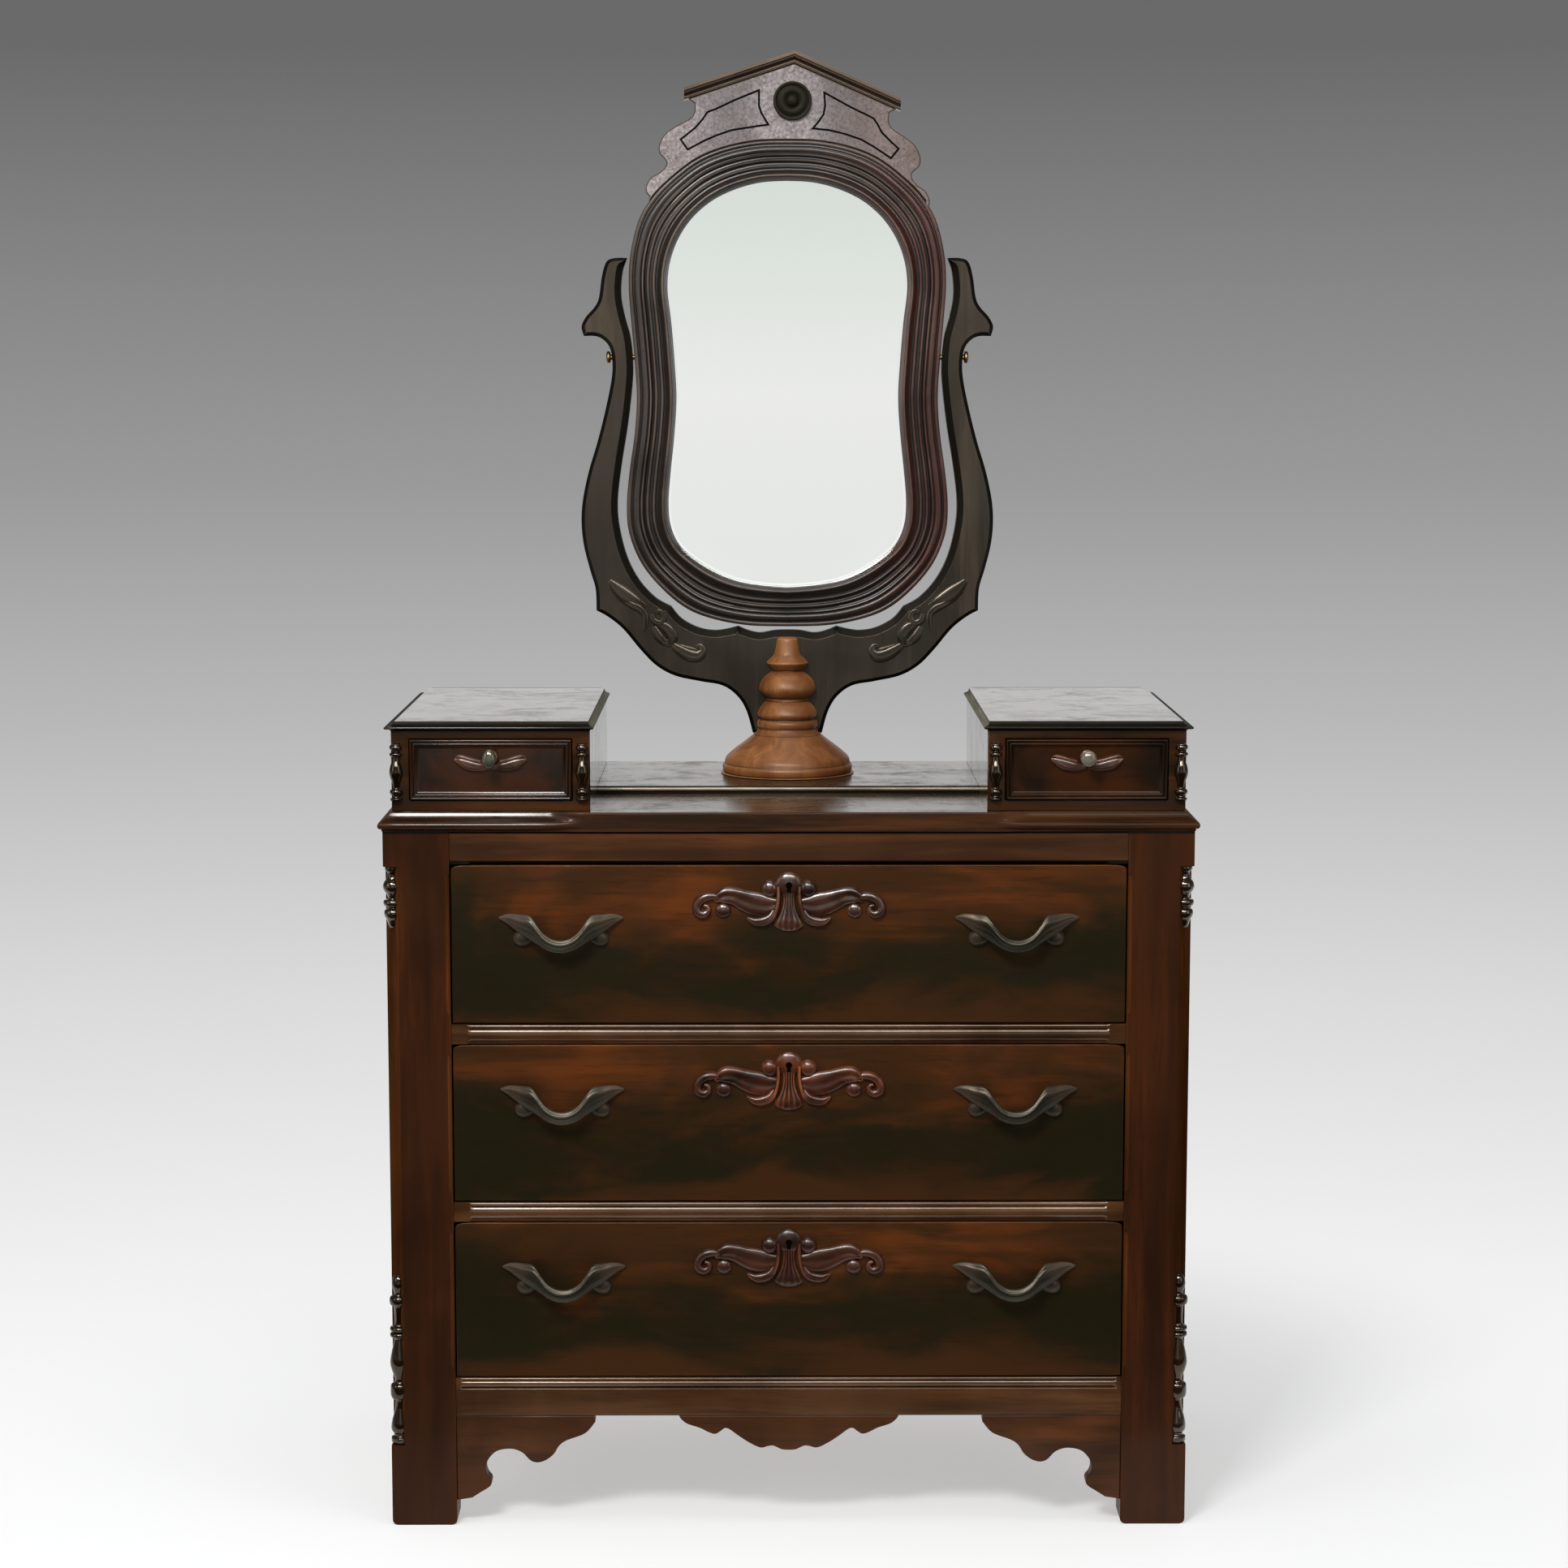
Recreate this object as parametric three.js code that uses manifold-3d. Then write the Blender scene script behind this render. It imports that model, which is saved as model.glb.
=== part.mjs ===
// A Victorian dresser with a swinging mirror. Three long drawers stand under a drop-well top, a small
// drawer box flanks each side of the well, and the mirror tilts in a wishbone on a turned pedestal.
// Millimetres, +Z up, the front faces -Y and the floor is Z = 0.

import * as THREE from 'three';
import { mergeVertices } from 'three/addons/utils/BufferGeometryUtils.js';
import Module from 'manifold-3d';

const wasm = await Module();
wasm.setup();

// Fits and tolerances
const seatGap = 0.3;
const drawerGap = 1.5;
const overrun = 5;
const weldDistance = 0.0001;

// Case
const caseWidth = 1006;
const caseDepth = 450;
const footHeight = 142;
const bottomRailHeight = 50;
const openingHeight = 202;
const dividerHeight = 25;
const topRailHeight = 44;
const topBoardHeight = 21;
const drawerCount = 3;
const postWidth = 82;
const postDepth = 50;
const footRound = 6;
const footRoundSteps = 3;
const sideThickness = 22;
const legWidth = 52;
const sideRailHeight = 70;
const sidePanelRecess = 8;
const kickerWidth = 60;
const kickerHeight = 20;
const backThickness = 12;
const backInset = 2;
const backFrameWidth = 90;
const backPanelRecess = 5;
const railSetback = 2;
const railDepth = 36;
const dividerDepth = 60;

// Split turnings on the chamfered corners
const chamferFront = 18;
const chamferSide = 30;
const chamferFloor = 104;
const chamferTop = 845;
const turningRadius = 9;
const upperTurningLength = 78;
const lowerTurningLength = 220;
const turningSides = 10;
const arrisChamfer = 5;
const arrisStop = 15;

// Mouldings on the rails between the drawers
const mouldDepth = 4.5;
const mouldStop = 20;
const bottomMouldHeight = 14;
const topRailChamfer = 4;
const topRailStop = 24;

// Apron under the bottom rail
const apronThickness = 20;
const bracketWidth = 176;
const bracketDrop = 110;
const pendantHalfWidth = 139;
const pendantDrop = 45;

// Frames that carry the long drawers
const runnerHeight = 20;
const runnerWidth = 90;
const runnerRailWidth = 60;
const guideHeight = 30;

// Long drawers
const frontRecess = 3;
const frontThickness = 22;
const trayDepth = 395;
const trayHeight = 165;
const trayWall = 11;
const trayFloor = 7;
const pullSpacing = 566;
const pullDrops = [67, 57, 57];
const escutcheonDrop = 26;

// Locks
const lockWidth = 60;
const lockHeight = 38;
const lockThickness = 9;
const boltWidth = 30;
const boltHeight = 18;
const boltThickness = 3.4;
const mortiseDepth = 8;

// Carved pulls and keyhole plates
const pullHalfLength = 77;
const pullDepth = 28;
const pullHeight = 27;
const pullSides = 8;
const lobeRadius = 14;
const lobeHeight = 11;
const lobeRise = 9;
const carvingHalfWidth = 127;
const carvingHeight = 57;
const carvingRise = 8;
const keyholeRadius = 3.2;
const keyholeDrop = 8;
const keyholeSteps = 5;
const ballSides = 8;
const strokeSides = 4;

// Top board with its coved edge
const topReach = 5.5;
const topInset = 11;
const centreEdge = 2;
const breakOuter = 302;
const breakInner = 254;

// Raised deck behind the well
const wellDepth = 180;
const deckHeight = 9.5;
const deckNose = 4;
const deckNoseSteps = 4;

// Small drawer boxes
const gloveWidth = 246;
const gloveHeight = 100;
const gloveBoard = 11;
const gloveReach = 8;
const gloveTopInset = 2;
const gloveCorner = 12;
const gloveCornerSteps = 3;
const gloveFrontStile = 22;
const gloveRail = 13;
const gloveFrieze = 10;
const gloveBack = 12;
const gloveFrontThickness = 18;
const gloveFrontProud = 4;
const gloveTrayDepth = 385;
const gloveTrayHeight = 62;
const gloveTrayWall = 9;
const gloveTrayFloor = 6;
const glovePanelRim = 10;
const gloveGap = 0.8;
const gloveTurningRadius = 6;
const gloveTurningLength = 72;
const outerTurningInset = 6;
const innerTurningInset = 10;
const leafHalfWidth = 48;
const leafHeight = 14;
const leafLift = 8;
const knobLift = 8;
const leafBossRadius = 9;
const leafRise = 6;
const leftKnobWidth = 17;
const leftKnobHeight = 25;
const rightKnobWidth = 20;
const rightKnobHeight = 20;
const knobLength = 24;
const knobSides = 12;

// Pedestal and wishbone
const pedestalY = 325;
const pedestalHeight = 180.5;
const pedestalRadius = 86;
const pedestalSides = 24;
const lapHeight = 52;
const harpThickness = 26;
const harpHalfWidth = 272;
const harpHeight = 625;
const harpEdge = 5;
const harpSteps = 2;
const tenonWidth = 50;
const tenonDepth = 28;
const tenonShoulder = 5;
const pivotHeight = 496;
const pivotRadius = 3.5;
const pivotSides = 12;
const pivotRunningGap = 0.1;
const pivotGrip = 16;
const pivotHeadRadius = 8;
const pivotHeadLength = 6;
const pivotStandoff = 1.5;

// Mirror
const frameHalfWidth = 212;
const frameHeight = 635;
const frameDepth = 28;
const frameClearance = 5.125;
const frameSteps = 2;
const pivotFromBack = 8;
const glassThickness = 4;
const mirrorBackThickness = 6;

// Crest over the mirror
const crestLean = THREE.MathUtils.degToRad(2.8);
const crestHalfWidth = 185;
const crestHeight = 180;
const crestThickness = 16;
const crestOverlap = 82;
const crestBackInset = 2;
const corniceHalfWidth = 141;
const corniceHeight = 15;
const corniceReach = 12;
const corniceRise = 54;
const rosetteRadius = 25;
const rosetteThickness = 8;
const rosetteHeight = 132;
const rosetteSides = 20;

// Places that follow from those sizes
const halfCase = caseWidth / 2;
const openingHalf = halfCase - postWidth;
const lowestOpening = footHeight + bottomRailHeight;
const openingPitch = openingHeight + dividerHeight;
const topRailFloor = lowestOpening + drawerCount * openingPitch - dividerHeight;
const topBoardFloor = topRailFloor + topRailHeight;
const caseTop = topBoardFloor + topBoardHeight;
const sideInner = halfCase - sideThickness;
const backInner = caseDepth - backInset - backThickness;
const frontBack = frontRecess + frontThickness;
const lockFront = frontBack - lockThickness - seatGap;
const boltMiddle = lockFront + lockThickness / 2;
const deckTop = caseTop + seatGap + deckHeight;
const gloveOuter = halfCase - topInset;
const gloveInner = gloveOuter - gloveWidth;
const gloveMiddle = gloveOuter - gloveWidth / 2;
const gloveFloor = caseTop + seatGap;
const gloveDepth = caseDepth - backInset - topInset;
const gloveOpening = gloveWidth - 2 * gloveFrontStile;
const gloveOpeningHeight = gloveHeight - gloveRail - gloveFrieze;
const pedestalFloor = deckTop + seatGap;
const harpFloor = pedestalFloor + lapHeight + seatGap;
const harpFront = pedestalY + seatGap;
const pivotZ = harpFloor + pivotHeight;
const pivotY = harpFront + harpThickness / 2;
const pivotHoleRadius = (pivotRadius + pivotRunningGap) / Math.cos(Math.PI / pivotSides);
const harpThroatShare = 0.219;
const frameBottom = harpFloor + harpThroatShare * harpHeight + frameClearance;
const frameDrop = pivotZ - frameBottom;
const frameBack = pivotY + pivotFromBack;
const crestFloor = frameBottom + frameHeight - crestOverlap;
const crestFront = frameBack - crestBackInset - crestThickness;

// Outlines as shares of the sizes above: [across, up] or [depth, up]
const mouldShares = [
  [0.45, 1], [0.1, 0.95], [0, 0.88], [0.1, 0.81], [0.7, 0.75], [0.7, 0.7], [0.1, 0.64],
  [0, 0.56], [0.15, 0.48], [0.9, 0.42], [1, 0.3], [0.8, 0.12], [0.45, 0],
];
const edgeMouldShares = [
  [0.1, 0], [0.2, 0.1], [0.9, 0.2], [1, 0.32], [0.8, 0.44], [0.2, 0.5], [-0.4, 0.62], [-1.1, 0.78],
  [-1.8, 0.92], [-2, 1],
];
const edgeFadeShares = [1, 0.93, 0.7, 0.3, 0.07, 0];
const upperTurningShares = [
  [0, 0], [0.3, 0.05], [0.62, 0.14], [0.85, 0.2], [0.9, 0.26], [0.6, 0.33], [0.95, 0.38], [0.95, 0.43],
  [0.5, 0.48], [0.6, 0.55], [0.92, 0.6], [1, 0.66], [0.9, 0.73], [0.55, 0.79], [0.5, 0.86], [0.75, 0.93],
  [0.75, 1], [0, 1],
];
const lowerTurningShares = [
  [0, 0], [0.8, 0], [0.95, 0.02], [0.95, 0.04], [0.7, 0.06], [0.95, 0.1], [0.85, 0.15], [0.5, 0.21],
  [0.55, 0.26], [0.9, 0.29], [1, 0.32], [0.9, 0.355], [0.55, 0.39], [0.75, 0.43], [1, 0.475],
  [0.8, 0.55], [0.55, 0.61], [0.95, 0.635], [1, 0.655], [0.9, 0.675], [0.5, 0.7], [0.55, 0.8],
  [0.95, 0.825], [1, 0.845], [0.95, 0.865], [0.5, 0.89], [0.72, 0.94], [0.6, 0.98], [0, 1],
];
const gloveTurningShares = [
  [0, 0], [0.8, 0], [0.9, 0.05], [0.55, 0.11], [0.9, 0.17], [0.55, 0.24], [0.6, 0.32], [0.95, 0.42],
  [1, 0.52], [0.75, 0.62], [0.5, 0.74], [0.9, 0.8], [0.5, 0.86], [0.9, 0.92], [0.7, 1], [0, 1],
];
const gloveRimShares = [[0, 0.5], [0.15, 1], [0.35, 0.9], [0.45, 0.55], [0.6, 0.75], [0.8, 0.7], [1, 0]];
const bracketShares = [
  [1, 0], [1, -0.073], [0.926, -0.209], [0.795, -0.291], [0.739, -0.355], [0.699, -0.455],
  [0.642, -0.527], [0.58, -0.555], [0.528, -0.527], [0.472, -0.436], [0.392, -0.391], [0.29, -0.418],
  [0.227, -0.518], [0.21, -0.618], [0.222, -0.7], [0.25, -0.764], [0.239, -0.836], [0.17, -0.909],
  [0.108, -0.973], [0, -1],
];
const pendantShares = [
  [1, 0], [0.978, -0.111], [0.921, -0.244], [0.813, -0.356], [0.727, -0.489], [0.669, -0.533],
  [0.619, -0.444], [0.583, -0.367], [0.54, -0.4], [0.453, -0.6], [0.353, -0.8], [0.259, -0.933],
  [0.187, -0.889], [0.144, -0.878], [0.101, -0.933], [0.058, -0.989], [0, -1],
];
const pedestalShares = [
  [0, 0], [0.965, 0], [1, 0.035], [0.99, 0.07], [0.93, 0.125], [0.78, 0.19], [0.58, 0.262],
  [0.45, 0.327], [0.465, 0.345], [0.465, 0.385], [0.43, 0.4], [0.45, 0.43], [0.43, 0.47], [0.33, 0.53],
  [0.35, 0.56], [0.43, 0.605], [0.435, 0.635], [0.37, 0.7], [0.23, 0.755], [0.28, 0.785], [0.315, 0.815],
  [0.25, 0.85], [0.2, 0.88], [0.175, 0.94], [0.16, 0.985], [0.1, 1], [0, 1],
];
const harpTipShares = [
  [0.772, 1], [0.831, 1], [0.871, 0.992], [0.893, 0.962], [0.908, 0.918], [0.93, 0.898], [0.971, 0.878],
  [0.993, 0.858], [0.982, 0.838],
];
const harpArmShares = [
  [0.982, 0.838], [0.93, 0.838], [0.893, 0.832], [0.86, 0.816], [0.846, 0.79], [0.849, 0.75],
  [0.879, 0.686], [0.919, 0.618], [0.963, 0.555], [0.993, 0.494], [1, 0.446], [0.989, 0.398],
  [0.96, 0.347], [0.934, 0.307], [0.93, 0.261],
];
const harpFootShares = [
  [0.93, 0.261], [0.875, 0.248], [0.801, 0.222], [0.717, 0.178], [0.64, 0.144], [0.548, 0.122],
  [0.423, 0.11], [0.316, 0.101], [0.243, 0.078], [0.199, 0.046], [0.169, 0],
];
const harpInnerShares = [
  [[0, harpThroatShare], [0.062, 0.218], [0.132, 0.213], [0.191, 0.218], [0.239, 0.227]],
  [[0.239, 0.227], [0.294, 0.221], [0.357, 0.218], [0.434, 0.224], [0.515, 0.243], [0.566, 0.269]],
  [
    [0.566, 0.269], [0.643, 0.288], [0.721, 0.325], [0.779, 0.374], [0.816, 0.438], [0.824, 0.494],
    [0.805, 0.566], [0.772, 0.654], [0.75, 0.734], [0.746, 0.782], [0.757, 0.835], [0.783, 0.878],
    [0.801, 0.923], [0.794, 0.97], [0.772, 1],
  ],
];
const frameOuterShares = [
  [0, 1], [0.189, 0.998], [0.387, 0.985], [0.557, 0.962], [0.712, 0.924], [0.83, 0.885], [0.915, 0.839],
  [0.967, 0.773], [0.981, 0.707], [0.967, 0.635], [0.948, 0.559], [0.934, 0.477], [0.948, 0.402],
  [0.981, 0.324], [1, 0.254], [0.986, 0.194], [0.91, 0.131], [0.778, 0.077], [0.623, 0.036],
  [0.448, 0.014], [0.236, 0.002], [0, 0],
];
const frameInnerShares = [
  [0, 0.918], [0.156, 0.915], [0.311, 0.902], [0.458, 0.879], [0.575, 0.847], [0.656, 0.811],
  [0.708, 0.773], [0.736, 0.734], [0.741, 0.691], [0.719, 0.628], [0.7, 0.548], [0.689, 0.474],
  [0.703, 0.398], [0.726, 0.324], [0.741, 0.26], [0.729, 0.211], [0.675, 0.17], [0.571, 0.139],
  [0.443, 0.113], [0.311, 0.096], [0.156, 0.087], [0, 0.083],
];
// The frame's section: [from outer edge to opening, from back to front]
const frameSectionShares = [
  [0, 0], [0, 0.55], [0.06, 0.74], [0.15, 0.74], [0.2, 0.56], [0.31, 0.62], [0.4, 0.86], [0.5, 0.86],
  [0.55, 0.76], [0.66, 0.9], [0.8, 1], [0.92, 0.86], [1, 0.55], [1, 0.42], [0.84, 0.42], [0.84, 0],
];
const glassShare = 0.86;
const crestSideShares = [
  [0.973, 0], [1, 0.033], [1, 0.083], [0.968, 0.139], [0.919, 0.172], [0.881, 0.208], [0.865, 0.247],
  [0.886, 0.283], [0.916, 0.311], [0.924, 0.359], [0.908, 0.414], [0.87, 0.469], [0.805, 0.517],
  [0.735, 0.558], [0.7, 0.586], [0.684, 0.628], [0.686, 0.683],
];
// The cornice's section: [from back to front, up]
const corniceShares = [
  [0, 0], [0.62, 0], [0.72, 0.2], [0.68, 0.38], [0.8, 0.5], [0.93, 0.66], [1, 0.72], [1, 1], [0, 1],
];
const rosetteShares = [
  [0, 0], [1, 0], [1, 0.5], [0.93, 0.75], [0.8, 0.6], [0.55, 0.72], [0.32, 0.6], [0.28, 0.85],
  [0.15, 1], [0, 0.8],
];
const knobShares = [
  [0, 0], [0.5, 0], [0.38, 0.2], [0.4, 0.4], [0.8, 0.55], [1, 0.72], [0.85, 0.9], [0.4, 1], [0, 1],
];
// Stations along half a pull: [along, up, half height, forward, half thickness]
const pullStationShares = [
  [1, 0, 0.08, 0.1, 0.06], [0.75, -0.12, 0.32, 0.22, 0.16], [0.57, -0.2, 0.52, 0.36, 0.2],
  [0.43, -0.56, 0.36, 0.54, 0.22], [0.26, -0.92, 0.22, 0.74, 0.2], [0, -1, 0.19, 0.83, 0.17],
];
const lobeShares = [0.57, -0.86];
// Strokes of the keyhole carving: [along, up, half width, rise]
const carvingStrokeShares = [
  [
    [-0.08, -0.42, 0.04, 0.6], [-0.3, -0.3, 0.065, 0.8], [-0.45, -0.25, 0.075, 1],
    [-0.59, -0.21, 0.07, 1], [-0.68, -0.28, 0.052, 0.8], [-0.71, -0.48, 0.04, 0.7],
    [-0.67, -0.66, 0.045, 0.5],
  ],
  [
    [-0.47, -0.3, 0.04, 0.5], [-0.43, -0.55, 0.044, 0.7], [-0.38, -0.68, 0.048, 0.8], [-0.29, -0.72, 0.044, 0.9],
    [-0.21, -0.6, 0.04, 0.8], [-0.16, -0.35, 0.034, 0.7],
  ],
  [
    [-0.72, -0.36, 0.024, 0.5], [-0.79, -0.25, 0.034, 0.7], [-0.87, -0.26, 0.04, 0.7],
    [-0.94, -0.38, 0.046, 0.8], [-0.93, -0.56, 0.046, 0.8], [-0.86, -0.55, 0.04, 0.6],
  ],
];
const carvingHoodShares = [
  [-0.14, -0.1, 0.03, 0.6], [-0.1, 0.14, 0.036, 0.9], [0, 0.24, 0.04, 1], [0.1, 0.14, 0.036, 0.9],
  [0.14, -0.1, 0.03, 0.6],
];
const carvingFanShares = [
  [0, 0.15, 0.08, 0.4], [0, -0.05, 0.13, 0.5], [0, -0.5, 0.12, 0.7], [0, -0.74, 0.14, 0.8],
  [0, -0.9, 0.08, 0.6], [0, -1, 0.02, 0.3],
];
const carvingBallShares = [-0.175, 0, 0.06];
const leafStrokeShares = [
  [0, 0, 0.13, 0.6], [-0.3, -0.5, 0.13, 1], [-0.56, -0.4, 0.12, 1], [-0.8, 0.1, 0.09, 0.8],
  [-1, 0.3, 0.03, 0.4],
];

// Woods, metal and glass
const caseWood = new THREE.MeshStandardMaterial({ color: 0x4a2414, roughness: 0.35 });
const drawerWood = new THREE.MeshStandardMaterial({ color: 0x35200f, roughness: 0.3 });
const innerWood = new THREE.MeshStandardMaterial({ color: 0x9a7448, roughness: 0.8 });
const carvedWood = new THREE.MeshStandardMaterial({ color: 0x4b2a1a, roughness: 0.3 });
const pullWood = new THREE.MeshStandardMaterial({ color: 0x2a2620, roughness: 0.4 });
const harpWood = new THREE.MeshStandardMaterial({ color: 0x2c2822, roughness: 0.45 });
const frameWood = new THREE.MeshStandardMaterial({ color: 0x3a201a, roughness: 0.35 });
const pedestalWood = new THREE.MeshStandardMaterial({ color: 0x9a6238, roughness: 0.5 });
const crestWood = new THREE.MeshStandardMaterial({ color: 0x5d4a46, roughness: 0.7 });
const mirrorGlass = new THREE.MeshStandardMaterial({ color: 0xdfe4e0, roughness: 0.02, metalness: 1 });
const brass = new THREE.MeshStandardMaterial({ color: 0x8c6d3a, roughness: 0.4, metalness: 1 });

const dresser = new THREE.Group();

// Reading and making closed solids
function solid(geometry) {
  const bare = geometry.clone();
  bare.deleteAttribute('normal');
  bare.deleteAttribute('uv');
  const merged = mergeVertices(bare, weldDistance);
  return new wasm.Manifold(new wasm.Mesh({
    numProp: 3,
    vertProperties: merged.attributes.position.array,
    triVerts: new Uint32Array(merged.index.array),
  }));
}

function shaped(start, { add = [], cut = [] }) {
  let body = solid(start);
  for (const geometry of add) {
    body = body.add(solid(geometry));
  }
  for (const geometry of cut) {
    body = body.subtract(solid(geometry));
  }
  return geometryFrom(body.getMesh().vertProperties, body.getMesh().triVerts);
}

function geometryFrom(positions, indices) {
  const geometry = new THREE.BufferGeometry();
  geometry.setAttribute('position', new THREE.BufferAttribute(new Float32Array(positions), 3));
  geometry.setIndex(new THREE.BufferAttribute(new Uint32Array(indices), 1));
  geometry.computeVertexNormals();
  return geometry;
}

// The volume that the faces enclose is negative where they point inwards.
function outward(geometry) {
  const place = geometry.attributes.position;
  const index = geometry.index.array;
  const a = new THREE.Vector3();
  const b = new THREE.Vector3();
  const c = new THREE.Vector3();
  let volume = 0;
  for (let i = 0; i < index.length; i += 3) {
    a.fromBufferAttribute(place, index[i]);
    b.fromBufferAttribute(place, index[i + 1]);
    c.fromBufferAttribute(place, index[i + 2]);
    volume += a.dot(b.cross(c));
  }
  if (volume < 0) {
    geometry.setIndex(new THREE.BufferAttribute(index.slice().reverse(), 1));
  }
  geometry.computeVertexNormals();
  return geometry;
}

function mirrored(geometry) {
  const other = geometry.index ? geometry.clone() : mergeVertices(geometry.clone());
  other.scale(-1, 1, 1);
  return outward(other);
}

// A skin through rows of points, each row a closed section with the same number of points. The ends are
// closed by a fan round their middle, unless the last row joins the first.
function loft(rows, { ring = false } = {}) {
  const count = rows[0].length;
  const points = rows.flat();
  const faces = [];
  const spans = ring ? rows.length : rows.length - 1;
  for (let row = 0; row < spans; row += 1) {
    const here = row * count;
    const there = ((row + 1) % rows.length) * count;
    for (let i = 0; i < count; i += 1) {
      const j = (i + 1) % count;
      faces.push(here + i, here + j, there + j, here + i, there + j, there + i);
    }
  }
  if (!ring) {
    for (const [row, reversed] of [[0, true], [rows.length - 1, false]]) {
      const middle = rows[row].reduce((sum, point) => sum.add(point), new THREE.Vector3());
      points.push(middle.divideScalar(count));
      for (let i = 0; i < count; i += 1) {
        const edge = [row * count + i, row * count + ((i + 1) % count)];
        faces.push(...(reversed ? edge.reverse() : edge), points.length - 1);
      }
    }
  }
  return outward(geometryFrom(points.flatMap((point) => point.toArray()), faces));
}

function block(x0, x1, y0, y1, z0, z1) {
  const geometry = new THREE.BoxGeometry(x1 - x0, y1 - y0, z1 - z0);
  return geometry.translate((x0 + x1) / 2, (y0 + y1) / 2, (z0 + z1) / 2);
}

// A block that reaches as far to the left of the middle as to the right
function wideBlock(half, y0, y1, z0, z1) {
  return block(-half, half, y0, y1, z0, z1);
}

function outline(points) {
  return new THREE.Shape(points.map(([x, y]) => new THREE.Vector2(x, y)));
}

function scaled(shares, width, height) {
  return shares.map(([across, up]) => [across * width, up * height]);
}

// A front view's outline, thickened from its front face backwards
function fromFront(shape, front, thickness, options = {}) {
  const geometry = new THREE.ExtrudeGeometry(shape, { depth: thickness, bevelEnabled: false, ...options });
  return geometry.rotateX(Math.PI / 2).translate(0, front + thickness, 0);
}

// A side view's outline of [depth, height] points, drawn out along X
function alongX(points, x0, x1) {
  const geometry = new THREE.ExtrudeGeometry(outline(points), { depth: x1 - x0, bevelEnabled: false });
  const turn = new THREE.Matrix4().makeBasis(
    new THREE.Vector3(0, 1, 0), new THREE.Vector3(0, 0, 1), new THREE.Vector3(1, 0, 0));
  return geometry.applyMatrix4(turn).translate(x0, 0, 0);
}

// A plan's outline, drawn up from its floor
function upFrom(points, floor, height) {
  const geometry = new THREE.ExtrudeGeometry(outline(points), { depth: height, bevelEnabled: false });
  return geometry.translate(0, 0, floor);
}

// A turned shape about an upright axis
function turned(shares, radius, height, sides) {
  const profile = shares.map(([out, up]) => new THREE.Vector2(out * radius, up * height));
  return new THREE.LatheGeometry(profile, sides).rotateX(Math.PI / 2);
}

// A raised carved stroke that follows [along, up, half width, rise] stations on a face at Y = 0
function stroke(stations, width, height, rise) {
  const middle = stations.map(([along, up]) => new THREE.Vector3(along * width, 0, up * height));
  const rows = stations.map(([, , halfWidthShare, riseShare], i) => {
    const before = middle[Math.max(i - 1, 0)];
    const after = middle[Math.min(i + 1, middle.length - 1)];
    const along = after.clone().sub(before).normalize();
    const across = new THREE.Vector3(-along.z, 0, along.x);
    const row = [];
    for (let k = 0; k <= strokeSides; k += 1) {
      const angle = Math.PI * k / strokeSides;
      const point = middle[i].clone().addScaledVector(across, Math.cos(angle) * halfWidthShare * width);
      point.y = -Math.sin(angle) * riseShare * rise;
      row.push(point);
    }
    return row;
  });
  return loft(rows);
}

function flipped(stations) {
  return stations.map(([along, ...rest]) => [-along, ...rest]);
}

function piece(name, geometry, material, parent = dresser) {
  const mesh = new THREE.Mesh(geometry, material);
  mesh.name = name;
  parent.add(mesh);
  return mesh;
}

function openingFloor(number) {
  return lowestOpening + (drawerCount - number) * openingPitch;
}

// Corner post, its outer face at X = 0, with a stopped chamfer that carries two split turnings
function cornerPost() {
  const height = topBoardFloor - seatGap;
  const face = new THREE.Shape();
  face.moveTo(footRound, 0);
  face.lineTo(postWidth - footRound, 0);
  face.absarc(postWidth - footRound, footRound, footRound, -Math.PI / 2, 0);
  face.lineTo(postWidth, height);
  face.lineTo(0, height);
  face.absarc(footRound, footRound, footRound, Math.PI, 1.5 * Math.PI);
  const chamfer = upFrom([
    [chamferFront, 0], [0, chamferSide], [-overrun, chamferSide], [-overrun, -overrun],
    [chamferFront, -overrun],
  ], chamferFloor, chamferTop - chamferFloor);
  const cuts = [chamfer];
  for (let number = 1; number <= drawerCount; number += 1) {
    const arris = [
      [postWidth - arrisChamfer, 0], [postWidth - arrisChamfer, -overrun],
      [postWidth + overrun, -overrun], [postWidth + overrun, arrisChamfer], [postWidth, arrisChamfer],
    ];
    cuts.push(upFrom(arris, openingFloor(number) + arrisStop, openingHeight - 2 * arrisStop));
  }
  const lower = turned(lowerTurningShares, turningRadius, lowerTurningLength, turningSides);
  const upper = turned(upperTurningShares, turningRadius, upperTurningLength, turningSides);
  lower.translate(chamferFront / 2, chamferSide / 2, chamferFloor);
  upper.translate(chamferFront / 2, chamferSide / 2, chamferTop - upperTurningLength);
  const post = shaped(fromFront(face, 0, postDepth, { curveSegments: footRoundSteps }), { cut: cuts });
  return shaped(post, { add: [lower, upper] });
}

// Panelled side with the rear leg and the kicker that keeps the top drawer level, outer face at X = 0
function sideFrame() {
  const front = postDepth + seatGap;
  const top = topBoardFloor - seatGap;
  const legFront = caseDepth - legWidth;
  const frame = alongX([
    [front, footHeight], [legFront, footHeight], [legFront, 0], [caseDepth, 0], [caseDepth, top],
    [front, top],
  ], 0, sideThickness);
  const recess = block(-overrun, sidePanelRecess, front - overrun, legFront,
    footHeight + sideRailHeight, top - sideRailHeight);
  const kicker = block(sideThickness - seatGap, sideThickness + kickerWidth, dividerDepth,
    backInner - seatGap, topRailFloor, topRailFloor + kickerHeight);
  return shaped(frame, { add: [kicker], cut: [recess] });
}

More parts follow.
